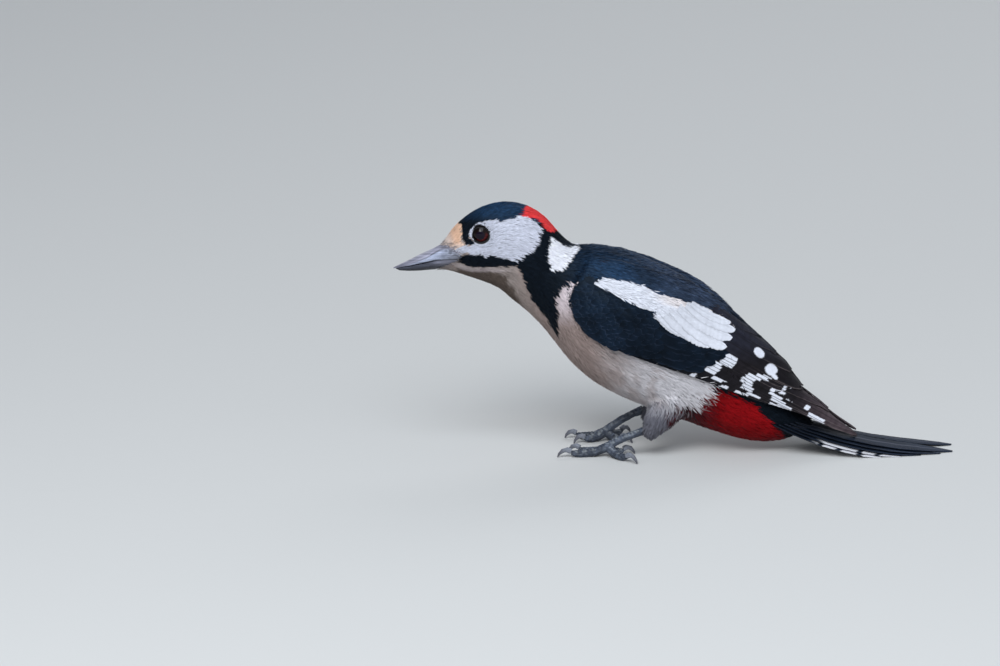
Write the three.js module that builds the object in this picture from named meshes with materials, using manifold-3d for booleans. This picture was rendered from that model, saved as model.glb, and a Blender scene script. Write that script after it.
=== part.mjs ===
// A male great spotted woodpecker, life size, in millimetres: +Z up, the bill towards -X, the bird's left
// side towards -Y. It stands on a level surface on both feet and the tips of its tail, leaning forward.
// The origin is on that surface, under the middle of the bird's bounding box.
import * as THREE from "three";
import { mergeVertices } from "three/addons/utils/BufferGeometryUtils.js";
import Module from "manifold-3d";

const wasm = await Module();
wasm.setup();

// ---------------------------------------------------------------- driving dimensions

const GAP = 0.3; // clearance between two pieces that touch
const BODY_SIDES = 20; // sides of a ring of the body
const WING_SIDES = 24; // sides of a ring of the wings
const FAR = 200; // reach of a cutting block

// Cross-sections of the feathered body, bill to tail root. Each is a ring that leans with the body:
// top x, top z, bottom x, bottom z, half width.
const BODY = [
  [-80.8, 85.8, -81.8, 76.0, 3.9], // face front
  [-76.6, 92.4, -76.4, 75.0, 7.4], // lores
  [-71.5, 97.4, -70.4, 73.0, 9.6], // forehead
  [-64.5, 101.8, -63.8, 70.7, 11.3], // eye
  [-55.5, 104.0, -57.4, 67.8, 12.3], // crown
  [-46.0, 102.3, -52.9, 63.8, 12.8], // ear
  [-38.6, 97.4, -48.6, 60.2, 12.8], // nape
  [-33.4, 91.3, -44.6, 56.8, 12.9], // hind neck
  [-27.6, 86.2, -39.8, 51.8, 14.5], // neck base
  [-19.0, 86.0, -34.2, 44.6, 18.0], // shoulder
  [-8.0, 84.0, -28.5, 37.5, 21.0], // mantle
  [4.0, 79.4, -20.0, 29.6, 22.3], // breast
  [16.0, 73.4, -9.0, 23.2, 22.3], // keel
  [27.0, 65.4, 4.0, 17.6, 20.8], // belly
  [36.0, 54.6, 19.0, 12.0, 18.2], // back
  [43.5, 43.5, 33.0, 7.0, 15.0], // rump
  [51.0, 33.0, 45.0, 3.8, 11.8], // vent
  [58.5, 23.5, 57.0, 3.9, 8.8], // tail coverts
  [65.0, 16.2, 63.8, 6.4, 5.6], // tail root
  [70.0, 12.2, 69.0, 8.4, 2.6], // coverts' end
];
const HEAD_CUT = { x: -41.5, z: 77.0, lean: 26 }; // middle of the cut between head and neck, lean in degrees
const NECK_CUT = { x: -29.5, z: 68.0, lean: 22 };

// The folded wings lie over the body like a cloak, which swells from the body's rings and runs on past them.
const WING_START = 7; // first body ring under the wings
const WING_SWELL = [0.9, 0.9, 1.1, 1.5, 1.9, 2.0, 2.1]; // depth of the wing on each body ring, front to back
const WING_REAR = [
  [35.5, 60.0, 18.0, 16.0, 20.9], // greater coverts
  [43.2, 51.8, 29.5, 11.0, 18.8], // rump
  [51.5, 44.2, 41.0, 8.5, 16.4], // tertials
  [59.5, 36.0, 52.0, 8.0, 14.0], // tertial tips
  [66.0, 26.4, 61.0, 7.0, 11.8], // primaries
  [73.6, 19.9, 70.5, 5.4, 9.9], // primary tips
  [81.6, 13.0, 80.0, 3.6, 8.0], // long primaries
  [90.2, 6.8, 89.8, 2.6, 6.0], // wing tip
];
const WING_DEPTH = 1.6; // thickness of the folded wing where it leaves the body
// Edge of the left or right wing from the side, x and z, shoulder to tip along the flank.
const WING_FLANK = [
  [-20, 84], [-25.5, 76], [-28.6, 68], [-27.2, 60.5], [-22.5, 54], [-14, 48.8], [0, 43.2], [12, 38.8],
  [24, 34.4], [34, 30.2], [45, 25.6], [57, 21.2], [66, 17.6], [75, 12.8], [83, 8.4], [87, 6.2],
  [89.2, 6.2], [88.6, 8.4], [84, 14], [60, 60],
];
// Edge of a wing from above, x and distance from the midline, shoulder to tip.
const WING_BACK = [[-26, 9.5], [-10, 10.5], [8, 9], [22, 5.5], [34, 0.2], [62, 0.2], [72, 1], [88, 2.8]];
const COVERT_CUT = { x: 29, z: 46, lean: 32 }; // coverts from flight feathers, on the flank
const PRIMARY_CUT = { x: 48, z: 29.6, lean: -79 }; // secondaries from primaries

// Bill: rings as in the body, with the height of the widest place, 0 at the bottom to 1 at the top.
const BILL_UPPER = [
  [-76.5, 87.6, -76.5, 81.1, 4.9, 0.12, 1.8],
  [-81.0, 85.9, -81.4, 80.5, 4.3, 0.12, 1.8],
  [-85.7, 83.7, -86.0, 79.3, 3.4, 0.12, 1.8],
  [-89.8, 81.8, -90.1, 78.1, 2.6, 0.12, 1.8],
  [-93.9, 79.6, -94.2, 77.0, 1.9, 0.14, 1.8],
  [-97.8, 77.7, -98.0, 76.2, 1.1, 0.2, 2],
  [-100.4, 76.4, -100.4, 75.8, 0.4, 0.3, 2],
];
const BILL_LOWER = [
  [-76.5, 80.8, -76.5, 75.6, 4.5, 0.88, 1.8],
  [-81.4, 80.2, -81.2, 75.7, 3.9, 0.88, 1.8],
  [-86.0, 79.0, -85.8, 75.4, 3.1, 0.88, 1.8],
  [-90.1, 77.8, -90.0, 75.0, 2.4, 0.88, 1.8],
  [-94.2, 76.7, -94.2, 74.9, 1.7, 0.86, 1.8],
  [-97.6, 76.0, -97.6, 75.1, 1.0, 0.8, 2],
  [-99.5, 75.6, -99.5, 75.2, 0.4, 0.7, 2],
];

// Eyeballs. The socket opens out into a dish from the distance "rim" outwards.
const EYE = { x: -64.7, y: 6.7, z: 92.7, radius: 4.2, opening: 7.0, rim: 8.9 };

// Tail: one curve that all ten feathers follow, pressed down onto the floor, and each feather's own size.
const TAIL_ROOT = [44, 22.4];
const TAIL_SLOPE = { root: 30, tip: 3, bend: 1.4 }; // degrees below level, and how early the slope eases
const TAIL_LENGTH = 87;
const TAIL_STEP = 0.9; // each feather lies this much lower than the one nearer the middle
const TAIL_THICK = 0.6;
const TAIL_ROLL = 9; // degrees that each side of the tail slopes away from the middle, like a roof
const RECTRICES = [
  { length: 87, half: 5.0, start: 1.6, fan: 2.3 },
  { length: 82, half: 4.8, start: 2.4, fan: 4.0 },
  { length: 74, half: 4.5, start: 3.2, fan: 5.6 },
  { length: 66, half: 4.2, start: 4.0, fan: 7.2 },
  { length: 58, half: 3.6, start: 4.8, fan: 8.8 },
]; // middle pair first; fan is in degrees

// Legs: places are x, distance from the midline, z.
const THIGH = [
  [18, 6.5, 33, 11.0],
  [13, 8.5, 24, 9.0],
  [8, 10.6, 16.6, 6.4],
  [4.6, 11.6, 11.6, 4.0],
  [2.6, 11.8, 8.6, 2.5],
]; // x, distance, z, radius
const SHIN_RADIUS = [1.9, 1.55, 1.6, 2.0];
const TOE_LIFT = 1.35; // height of a toe's middle line
const TOE_RADIUS = [2.0, 1.75, 1.7, 1.5];
const CLAW_RADIUS = [1.25, 1.1, 0.75, 0.2];
const CLAW_ARCH = [2.5, 3.2, 1.9, 0.1]; // height of a claw's middle line, root to tip
const LEGS = {
  left: {
    side: -1,
    shin: [[3.2, 11.8, 11.5], [-3, 12, 9.2], [-9, 12, 6.8], [-13.4, 12, 4.0]],
    toes: {
      front: { reach: [-28.2, 13.2], claw: [-33.8, 13.6] },
      inner: { reach: [-24.6, 7.6], claw: [-29.4, 5.8] },
      outer: { reach: [-5.6, 20.0], claw: [-1.4, 24.0] },
      hind: { reach: [-7.0, 9.6], claw: [-2.2, 8.4] },
    },
  },
  right: {
    side: 1,
    shin: [[1.4, 11.8, 13.2], [-4, 12, 10.8], [-9.5, 12, 7.6], [-13.8, 12, 4.0]],
    toes: {
      front: { reach: [-25.8, 14.6], claw: [-30.6, 15.6] },
      inner: { reach: [-22.6, 8.4], claw: [-27.0, 7.0] },
      outer: { reach: [-7.4, 20.4], claw: [-3.6, 24.0] },
      hind: { reach: [-7.6, 9.0], claw: [-3.0, 7.6] },
    },
  },
};

// ---------------------------------------------------------------- materials

const paint = (color, roughness) => new THREE.MeshStandardMaterial({ color, roughness, metalness: 0 });
const material = {
  head: paint(0xc9c8c6, 0.8),
  black: paint(0x12161f, 0.55),
  belly: paint(0xb3a498, 0.85),
  thigh: paint(0xc2bbb6, 0.85),
  flight: paint(0x1d1c20, 0.6),
  tail: paint(0x161c26, 0.5),
  barred: paint(0xd8d3cb, 0.7),
  horn: paint(0x6e7480, 0.4),
  leg: paint(0x7a8390, 0.6),
  claw: paint(0x5f6670, 0.4),
  eye: paint(0x2c1210, 0.08),
};

// ---------------------------------------------------------------- helpers

// Moves a ring's top, bottom and half width outwards by an amount.
function swell([topX, topZ, bottomX, bottomZ, half, ...rest], amount) {
  const length = Math.hypot(topX - bottomX, topZ - bottomZ);
  const [stepX, stepZ] = [(amount * (topX - bottomX)) / length, (amount * (topZ - bottomZ)) / length];
  return [topX + stepX, topZ + stepZ, bottomX - stepX, bottomZ - stepZ, half + amount, ...rest];
}

// A closed skin through rings: top x and z, bottom x and z, half width, widest height 0..1, squareness.
function loft(rows, sides, steps) {
  const rail = (pick) => new THREE.CatmullRomCurve3(rows.map((row) => new THREE.Vector3(...pick(row))));
  const top = rail((row) => [row[0], 0, row[1]]);
  const bottom = rail((row) => [row[2], 0, row[3]]);
  const section = rail((row) => [row[4], row[5] ?? 0.5, row[6] ?? 2]);
  const geometry = new THREE.CylinderGeometry(1, 1, 1, sides, steps * (rows.length - 1));
  const place = geometry.attributes.position;
  const point = new THREE.Vector3();
  for (let i = 0; i < place.count; i++) {
    point.fromBufferAttribute(place, i);
    const t = 0.5 - point.y;
    const reach = Math.hypot(point.x, point.z);
    const angle = Math.atan2(point.x, point.z);
    const [half, widest, square] = section.getPoint(t).toArray();
    const low = bottom.getPoint(t);
    const up = top.getPoint(t).sub(low);
    const bend = (value) => Math.sign(value) * Math.abs(value) ** (2 / square) * reach;
    const rise = bend(Math.cos(angle));
    const height = widest + rise * (rise > 0 ? 1 - widest : widest);
    low.addScaledVector(up, height);
    place.setXYZ(i, low.x, half * bend(Math.sin(angle)), low.z);
  }
  return geometry;
}

// A round limb through points, with its radius eased through a list.
function limb(points, radii, sides, steps) {
  const line = new THREE.CatmullRomCurve3(points.map((place) => new THREE.Vector3(...place)));
  const girth = new THREE.CatmullRomCurve3(radii.map((radius) => new THREE.Vector3(radius, 0, 0)));
  const geometry = new THREE.CylinderGeometry(1, 1, 1, sides, steps);
  const place = geometry.attributes.position;
  const point = new THREE.Vector3();
  for (let i = 0; i < place.count; i++) {
    point.fromBufferAttribute(place, i);
    const t = 0.5 - point.y;
    const along = line.getTangent(t);
    const across = new THREE.Vector3(0, 0, 1).cross(along).normalize();
    const up = along.clone().cross(across);
    const radius = girth.getPoint(t).x;
    const centre = line.getPoint(t);
    centre.addScaledVector(across, point.x * radius).addScaledVector(up, point.z * radius);
    place.setXYZ(i, centre.x, centre.y, centre.z);
  }
  return geometry;
}

// A block of the outline [x, second][], extruded both ways along Y, or along Z when it is seen from above.
function prism(outline, fromAbove) {
  const shape = new THREE.Shape(outline.map(([x, y]) => new THREE.Vector2(x, y)));
  const geometry = new THREE.ExtrudeGeometry(shape, { depth: 2 * FAR, bevelEnabled: false });
  geometry.translate(0, 0, -FAR);
  if (!fromAbove) geometry.rotateX(Math.PI / 2);
  return geometry;
}

// A closed three.js geometry as a manifold-3d solid, with its faces out.
function solid(geometry) {
  const bare = geometry.index ? geometry.toNonIndexed() : geometry.clone();
  for (const name of Object.keys(bare.attributes)) if (name !== "position") bare.deleteAttribute(name);
  const merged = mergeVertices(bare, 1e-4);
  const index = Array.from(merged.index.array);
  const corners = [];
  for (let i = 0; i < index.length; i += 3) {
    const [a, b, c] = index.slice(i, i + 3);
    if (a !== b && b !== c && a !== c) corners.push(a, b, c);
  }
  const make = (triVerts) =>
    new wasm.Manifold(
      new wasm.Mesh({
        numProp: 3,
        vertProperties: merged.attributes.position.array,
        triVerts: new Uint32Array(triVerts),
      }),
    );
  const made = make(corners);
  return made.volume() > 0 ? made : make(corners.reverse());
}

// The bodies of a solid, the largest first.
const bodies = (made) => made.decompose().sort((a, b) => b.volume() - a.volume());
const centre = (made, axis) => (made.boundingBox().min[axis] + made.boundingBox().max[axis]) / 2;

// The two halves that a thin slab across the side view leaves, ordered along an axis.
function part({ x, z, lean }, made, axis) {
  const slab = new THREE.BoxGeometry(GAP, 2 * FAR, 2 * FAR);
  slab.rotateY(THREE.MathUtils.degToRad(lean)).translate(x, 0, z);
  const halves = bodies(made.subtract(solid(slab))).slice(0, 2);
  return halves.sort((a, b) => centre(a, axis) - centre(b, axis));
}

const aboveFloor = (made) => {
  const under = new THREE.BoxGeometry(2 * FAR, 2 * FAR, FAR).translate(0, 0, -FAR / 2);
  return made.subtract(solid(under));
};

const bird = new THREE.Group();
function node(name, made, finish) {
  const mesh = bodies(made)[0].getMesh();
  const places = new Float32Array(mesh.numVert * 3);
  for (let i = 0; i < mesh.numVert; i++)
    places.set(mesh.vertProperties.subarray(i * mesh.numProp, i * mesh.numProp + 3), i * 3);
  const geometry = new THREE.BufferGeometry();
  geometry.setAttribute("position", new THREE.BufferAttribute(places, 3));
  geometry.setIndex(new THREE.BufferAttribute(mesh.triVerts, 1));
  geometry.computeVertexNormals();
  const piece = new THREE.Mesh(geometry, finish);
  piece.name = name;
  bird.add(piece);
}

// ---------------------------------------------------------------- body and head

const flesh = solid(loft(BODY, BODY_SIDES, 2));
const around = solid(loft(BODY.map((row) => swell(row, GAP)), BODY_SIDES, 2)); // body with its clearance

function eyeball(side, grow) {
  const ball = new THREE.SphereGeometry(EYE.radius + grow, 14, 9);
  return solid(ball.translate(EYE.x, side * EYE.y, EYE.z));
}

function socket(side) {
  const dish = new THREE.CylinderGeometry(EYE.opening / 2, EYE.opening / 2, FAR, 16);
  dish.translate(0, side * (EYE.rim + FAR / 2), 0).translate(EYE.x, 0, EYE.z);
  return eyeball(side, GAP).add(solid(dish));
}

const [front, trunk] = part(NECK_CUT, flesh, 0);
const [skull, neck] = part(HEAD_CUT, front, 0);
node("head", skull.subtract(socket(-1)).subtract(socket(1)), material.head);
node("neck", neck, material.black);
node("trunk", trunk, material.belly);
for (const [name, side] of [["left", -1], ["right", 1]]) node(`eye_${name}`, eyeball(side, 0), material.eye);

const bill = (rows) => solid(loft(rows, 14, 1)).subtract(around);
node("bill_upper", bill(BILL_UPPER), material.horn);
node("bill_lower", bill(BILL_LOWER), material.horn);

// ---------------------------------------------------------------- tail

// The tail's curve as a table of x, z and slope, a millimetre a step.
const spine = [{ x: TAIL_ROOT[0], z: TAIL_ROOT[1], slope: TAIL_SLOPE.root }];
for (let step = 1; step <= TAIL_LENGTH; step++) {
  const ease = (1 - (step - 0.5) / TAIL_LENGTH) ** TAIL_SLOPE.bend;
  const slope = TAIL_SLOPE.tip + (TAIL_SLOPE.root - TAIL_SLOPE.tip) * ease;
  const angle = THREE.MathUtils.degToRad(slope);
  const { x, z } = spine.at(-1);
  spine.push({ x: x + Math.cos(angle), z: z - Math.sin(angle), slope });
}

// One tail feather: a thin blade along the curve, narrow at the root and pointed at the tip.
function rectrix(order, side, grow) {
  const { length, half, start, fan } = RECTRICES[order];
  const thick = TAIL_THICK / 2 + grow;
  const geometry = new THREE.BoxGeometry(1, 1, 1, 8, 1, 1);
  const place = geometry.attributes.position;
  const tipFall = spine[length].z - order * TAIL_STEP - TAIL_THICK / 2 + 0.1; // lands the tip on the floor
  for (let i = 0; i < place.count; i++) {
    const t = 1 - (0.5 - place.getX(i)) ** 1.4; // closer steps towards the tip
    const s = t * length;
    const low = Math.floor(Math.min(s, TAIL_LENGTH - 1));
    const [at, next] = [spine[low], spine[low + 1]];
    const x = at.x + (next.x - at.x) * (s - low);
    const z = at.z + (next.z - at.z) * (s - low);
    const taper = 1 - Math.max(0, (t - 0.72) / 0.28) ** 2.2 * 0.86;
    const width = half * taper * (0.62 + 0.38 * Math.min(1, t * 2.5)) + grow;
    const across = place.getY(i) * 2 * width;
    const roll = THREE.MathUtils.degToRad(TAIL_ROLL);
    const middle = start + s * Math.sin(THREE.MathUtils.degToRad(fan));
    const outward = middle + across * Math.cos(roll);
    const angle = THREE.MathUtils.degToRad(at.slope);
    const lift = place.getZ(i) * 2 * thick - order * TAIL_STEP - tipFall * t ** 5;
    const drop = (outward - start) * Math.sin(roll) * (1 - t ** 3);
    const stretch = t === 1 ? grow : 0;
    place.setXYZ(i, x + lift * Math.sin(angle) + stretch, side * outward, z + lift * Math.cos(angle) - drop);
  }
  return solid(geometry);
}

const ownSide = (side) => {
  const half = new THREE.BoxGeometry(2 * FAR, FAR, 2 * FAR);
  return solid(half.translate(0, (side * (FAR + GAP)) / 2, 0));
};
const tail = []; // the feathers with their clearance
for (const [name, side] of [["left", -1], ["right", 1]]) {
  for (const order of RECTRICES.keys()) {
    let feather = aboveFloor(rectrix(order, side, 0).intersect(ownSide(side)).subtract(around));
    if (order > 0) feather = feather.subtract(rectrix(order - 1, side, GAP));
    node(`tail_feather_${order + 1}_${name}`, feather, order > 2 ? material.barred : material.tail);
    tail.push(rectrix(order, side, GAP));
  }
}

// ---------------------------------------------------------------- wings

const cloak = [
  ...WING_SWELL.map((amount, i) => swell(BODY[WING_START + i], amount)),
  ...WING_REAR,
];
const lining = cloak.map((row) => swell(row, -WING_DEPTH));
const bothWings = solid(loft(cloak, WING_SIDES, 1))
  .subtract(solid(loft(lining, WING_SIDES, 1)))
  .subtract(around);
const flank = solid(prism([...WING_FLANK, [-20, FAR]], false));

for (const [name, side] of [["left", -1], ["right", 1]]) {
  const back = WING_BACK.map(([x, y]) => [x, side * y]);
  const [first, last] = [back[0][1], back.at(-1)[1]];
  const over = [[-FAR, first], ...back, [FAR, last], [FAR, side * FAR], [-FAR, side * FAR]];
  let wing = bothWings.intersect(flank).intersect(solid(prism(over, true)));
  for (const feather of tail) wing = wing.subtract(feather);
  const [coverts, flight] = part(COVERT_CUT, wing, 0);
  const [primaries, secondaries] = part(PRIMARY_CUT, flight, 2);
  node(`wing_coverts_${name}`, coverts, material.black);
  node(`wing_secondaries_${name}`, secondaries, material.flight);
  node(`wing_primaries_${name}`, primaries, material.flight);
}

// ---------------------------------------------------------------- legs

for (const [name, { side, shin, toes }] of Object.entries(LEGS)) {
  const place = ([x, y, z]) => [x, side * y, z];
  const thigh = solid(limb(THIGH.map(place), THIGH.map((row) => row[3]), 14, 6)).subtract(around);
  node(`thigh_${name}`, thigh, material.thigh);
  const cuff = solid(limb(THIGH.map(place), THIGH.map((row) => row[3] + GAP), 14, 6));
  const ankle = shin.at(-1);
  const between = ([x, y], [endX, endY], t, z) => place([x + (endX - x) * t, y + (endY - y) * t, z]);
  let foot = solid(limb(shin.map(place), SHIN_RADIUS, 8, 4)).subtract(cuff);
  const claws = [];
  for (const [toe, { reach, claw }] of Object.entries(toes)) {
    const rise = (t) => TOE_LIFT + (ankle[2] - TOE_LIFT) * (1 - t) ** 3;
    const line = [0, 0.35, 0.7, 1].map((t) => between(ankle, reach, t, rise(t)));
    foot = foot.add(solid(limb(line, TOE_RADIUS, 7, 3)));
    const arch = CLAW_ARCH.map((z, i) => between(reach, claw, [0, 0.4, 0.8, 1][i], z));
    claws.push(solid(limb(arch, CLAW_RADIUS.map((radius) => radius + GAP), 6, 4)));
    node(`claw_${toe}_${name}`, aboveFloor(solid(limb(arch, CLAW_RADIUS, 6, 4))), material.claw);
  }
  node(`foot_${name}`, claws.reduce((made, claw) => made.subtract(claw), aboveFloor(foot)), material.leg);
}

// ---------------------------------------------------------------- origin

const bounds = new THREE.Box3().setFromObject(bird);
const middle = bounds.getCenter(new THREE.Vector3());
bird.position.set(-middle.x, -middle.y, -bounds.min.z);

export default bird;
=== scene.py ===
import math

import bmesh
import bpy
import numpy as np
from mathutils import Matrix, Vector
from mathutils.bvhtree import BVHTree


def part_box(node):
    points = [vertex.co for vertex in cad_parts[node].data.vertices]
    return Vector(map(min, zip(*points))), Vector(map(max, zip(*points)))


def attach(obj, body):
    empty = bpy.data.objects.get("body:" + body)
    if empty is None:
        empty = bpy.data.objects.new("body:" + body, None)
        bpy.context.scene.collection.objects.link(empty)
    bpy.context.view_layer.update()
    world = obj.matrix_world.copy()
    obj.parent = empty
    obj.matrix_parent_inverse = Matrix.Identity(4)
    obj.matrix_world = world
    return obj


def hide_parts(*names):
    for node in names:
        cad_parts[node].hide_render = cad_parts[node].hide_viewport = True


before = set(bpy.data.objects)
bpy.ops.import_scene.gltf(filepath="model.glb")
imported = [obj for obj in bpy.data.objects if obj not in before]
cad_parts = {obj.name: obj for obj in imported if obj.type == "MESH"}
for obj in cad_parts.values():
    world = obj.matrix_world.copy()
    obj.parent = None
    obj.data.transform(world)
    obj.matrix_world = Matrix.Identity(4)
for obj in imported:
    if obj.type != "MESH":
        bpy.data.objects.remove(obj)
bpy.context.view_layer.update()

MM = 0.001
LOOK_DOWN = math.tan(math.radians(15))
SIDES = {"left": -1, "right": 1}

# ---- places on the bird

EYE = np.array([-64.7, 6.7, 92.7])  # middle of an eyeball, at this distance from the midline
EYE_RADIUS = 4.2
EYE_AXIS = np.array([-0.10, 1.0, -0.08])  # where an eye looks: a little forward and down
PUPIL = 1.8
BILL_BASE = np.array([-81.0, 0.0, 81.0])
KNUCKLE = np.array([-13.5, 12.0, 4.0])  # where the toes part
TOES = ["front", "inner", "outer", "hind"]
FLESH = ["head", "neck", "trunk", "thigh_left", "thigh_right"]
WING = ["wing_coverts", "wing_secondaries", "wing_primaries"]

# ---- markings, as outlines in the side view

BLACK = [
    [-72.4, 81], [-60, 84], [-44, 84], [-44, 125], [80, 125], [80, 2], [58, 3.6], [52, 12], [45, 19.6],
    [33, 24], [-18, 56], [-25, 70], [-32.7, 68.1], [-34.3, 64], [-34.3, 56], [-34, 47.5], [-38.8, 55],
    [-44.6, 62.7], [-46.8, 67.7], [-47.9, 71.5], [-49.5, 75.4], [-52, 76.4], [-68.3, 76.4], [-71.8, 77.2],
    [-73.8, 78.2],
]  # moustache, bar down to the breast, hind neck, back and rump
CAP = [
    [-76, 99], [-74.9, 95], [-73.4, 94.1], [-72.9, 92], [-72.9, 89.7], [-72.6, 87.6], [-71.2, 85.7],
    [-68.4, 85.5], [-67.2, 87], [-69.6, 89], [-69, 91], [-60, 90], [-44, 90], [-40, 97], [-40, 125],
    [-75, 125],
]
CHEEK = [
    [-71.8, 82.1], [-76.4, 82.6], [-75, 84.6], [-71.2, 85.4], [-68.4, 85.6], [-67.8, 87.2], [-70.1, 88.7],
    [-69.6, 91.7], [-68.4, 93.5], [-66.2, 95], [-64, 96], [-60.9, 96.5], [-57.4, 95.5], [-54.6, 96.1],
    [-51.1, 97.5], [-48.3, 98.1], [-45.4, 97.5], [-43.1, 96.1], [-40.8, 94.2], [-40.2, 92], [-41.2, 88.8],
    [-43.7, 84.3], [-46, 82], [-48.9, 79.9], [-50.9, 78.9], [-54, 79.2], [-59.2, 80.5], [-66, 81.5],
]
NECK_PATCH = [
    [-36.8, 89.7], [-33.4, 87.5], [-31.2, 85.8], [-26.4, 85.2], [-25.3, 83.7], [-27.6, 81.2], [-30, 77.8],
    [-32.8, 74.9], [-36.5, 75.4], [-38.4, 81.4], [-37, 84.5],
]
FOREHEAD = [
    [-82, 85], [-80.1, 89], [-77, 96], [-74.9, 95], [-73.4, 94.1], [-72.9, 92], [-73, 89.3], [-72.7, 87.4],
    [-71.6, 85.6], [-74.6, 84], [-77, 84.4], [-79, 85.2],
]
NAPE = [
    [-48.6, 98.2], [-44.5, 110], [-28, 98], [-34.4, 92.4], [-36.4, 91.6], [-39.4, 93.2], [-41.8, 96.1],
    [-45, 97.7],
]
VENT = [
    [13, 9], [14, 13.6], [20, 14.6], [25.4, 18.5], [28.7, 22], [33, 27], [45, 24], [55, 14], [62, 8],
    [62, -12], [13, -12],
]
SCAPULAR = [
    [-18.4, 68.5], [-13.5, 71.8], [-6, 70], [1.2, 68], [7.7, 65], [19, 61.4], [25.4, 59.3], [31.5, 57.6],
    [36, 54.7], [38.4, 50.5], [38.2, 47.4], [36.7, 44.4], [34, 42.2], [31, 41.9], [23.8, 43.8], [19, 46.3],
    [15, 48.7], [11, 49], [6.6, 51.5], [4.9, 54.7], [5.4, 57.6], [1.2, 58.7], [-6, 61.8], [-11, 64.7],
]
# Underside of the throat: brown plumage darkened with painted shade.
CHIN = [
    [-76, 74.9], [-70, 75.1], [-62, 74.8], [-55, 73.6], [-53.4, 72.4], [-55, 70.4], [-52, 66.4], [-50, 62],
    [-80, 50], [-84, 74],
]
# Bare horn behind the bill's solids, as far back as the gape.
GAPE = [
    [-88, 82], [-84.5, 84.4], [-80.4, 86.4], [-78, 86.3], [-76.2, 85.3], [-74.9, 83.9], [-72.4, 82.2],
    [-72.2, 80.9], [-73.6, 79.2], [-77.5, 77.2], [-83.2, 75.4], [-88, 76.2],
]

# ---- colours of the plumage

INK = (0.0025, 0.0042, 0.0075)
# The next three blues are painted reflection of the sky on black plumage where it faces up; the last also
# gives the coverts' fine paler edges.
BLUE_SHEEN_BLACK = (0.012, 0.033, 0.074)
CROWN_SKY_SHEEN = (0.013, 0.040, 0.092)
MANTLE_SKY_SHEEN = (0.030, 0.045, 0.080)
BROWN_BLACK = (0.010, 0.0085, 0.0110)
SLATE = (0.020, 0.021, 0.034)
WING_TIP = (0.062, 0.045, 0.052)
WHITE = (0.720, 0.740, 0.820)
CHEEK_WHITE = (0.590, 0.610, 0.710)
# A brighter copy of the white: painted light on the neck patch.
NECK_WHITE_LIT = (0.860, 0.870, 0.950)
PINK_WHITE = (0.780, 0.680, 0.640)
BUFF = (0.780, 0.500, 0.350)
SCARLET = (0.780, 0.050, 0.054)
VENT_RED = (0.300, 0.004, 0.007)
# Nearly black red: painted shade on the vent.
VENT_SHADE_RED = (0.040, 0.0010, 0.0020)
BELLY = (0.700, 0.680, 0.715)
BREAST = (0.330, 0.255, 0.235)
STRIP = (0.660, 0.570, 0.600)
THROAT = (0.340, 0.290, 0.270)
# Brown of the throat's underside, darkened as painted shade.
CHIN_BROWN_SHADE = (0.080, 0.056, 0.044)
# Grey thigh feathers, darkened as painted shade.
SHADED_THIGH_GREY = (0.150, 0.150, 0.180)
HORN_GREY = (0.15, 0.16, 0.20)


# ---- small helpers


def unit(vectors):
    return vectors / np.maximum(np.linalg.norm(vectors, axis=-1, keepdims=True), 1e-9)


def ease(low, high, values):
    """0 up to low, 1 from high, and smooth between."""
    t = np.clip((values - low) / (high - low), 0, 1)
    return t * t * (3 - 2 * t)


def bell(values, width):
    """1 at 0, falling away on both sides over about this width."""
    return np.exp(-((values / width) ** 2))


def blend(a, b, share):
    return np.asarray(a) + (np.asarray(b) - np.asarray(a)) * np.asarray(share)[..., None]


def layered(colour, *layers):
    """A colour with paints laid over it one by one, each given with its share."""
    for paint, share in layers:
        colour = blend(colour, paint, share)
    return colour


def mottle(points, size, seed):
    """Smooth random values between about -1 and 1, which change over `size` millimetres."""
    rng = np.random.default_rng(seed)
    waves = rng.normal(size=(9, 3)) * 2.4 / size
    phases = rng.uniform(0, 2 * math.pi, 9)
    return np.sin(points @ waves.T + phases).sum(-1) / 3


def on_segment(points, a, b):
    """Share of the way from a to b of the place nearest to each point, and how far off the point is."""
    line = b - a
    share = np.clip((points - a) @ line / (line @ line), 0, 1)
    return share, np.linalg.norm(points - a - share[..., None] * line, axis=-1)


def nearest_line(points, starts, ends):
    """The number of the line nearest to each point, and how far along it that place lies."""
    shares, gaps = zip(*(on_segment(points, a, b) for a, b in zip(starts, ends)))
    lengths = np.linalg.norm(np.array(ends) - np.array(starts), axis=1)
    index = np.argmin(gaps, axis=0)
    return index, np.array(shares)[index, np.arange(len(points))] * lengths[index]


def depth_inside(outline, x, w):
    """Distance from points of the side view to an outline: positive inside, negative outside."""
    corners = np.array(outline, float)
    spot = np.stack([x, w], -1)
    nearest = np.full(len(x), np.inf)
    inside = np.zeros(len(x), bool)
    for a, b in zip(corners, np.roll(corners, -1, axis=0)):
        nearest = np.minimum(nearest, on_segment(spot, a, b)[1])
        crosses = (a[1] > w) != (b[1] > w)
        rise = b[1] - a[1] if b[1] != a[1] else 1e-9
        inside ^= crosses & (x < a[0] + (w - a[1]) * (b[0] - a[0]) / rise)
    return np.where(inside, nearest, -nearest)


def side_view(points):
    return points[..., 0], points[..., 2] - LOOK_DOWN * np.abs(points[..., 1])


def folded(points):
    """The same places on the side where y is positive."""
    return points * [1, 0, 1] + np.abs(points) * [0, 1, 0]


def flattened(directions, normals):
    """Directions turned into the plane of the surface."""
    return unit(directions - normals * (directions * normals).sum(1)[:, None])


# ---- surfaces taken from the solids


def node_middle(name):
    low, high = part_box(name)
    return (np.array(low) + np.array(high)) / 2 / MM


SHIFT = node_middle("eye_left") - EYE * [1, -1, 1]


def read(items, field, width, kind=float):
    """A field of a mesh's vertices, edges or loops, in rows of `width` numbers."""
    values = np.empty(len(items) * width, kind)
    items.foreach_get(field, values)
    return values.reshape(-1, width)


def node_points(name):
    return read(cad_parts[name].data.vertices, "co", 3) / MM - SHIFT


def node_edges(name):
    return read(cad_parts[name].data.edges, "vertices", 2, int)


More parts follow.
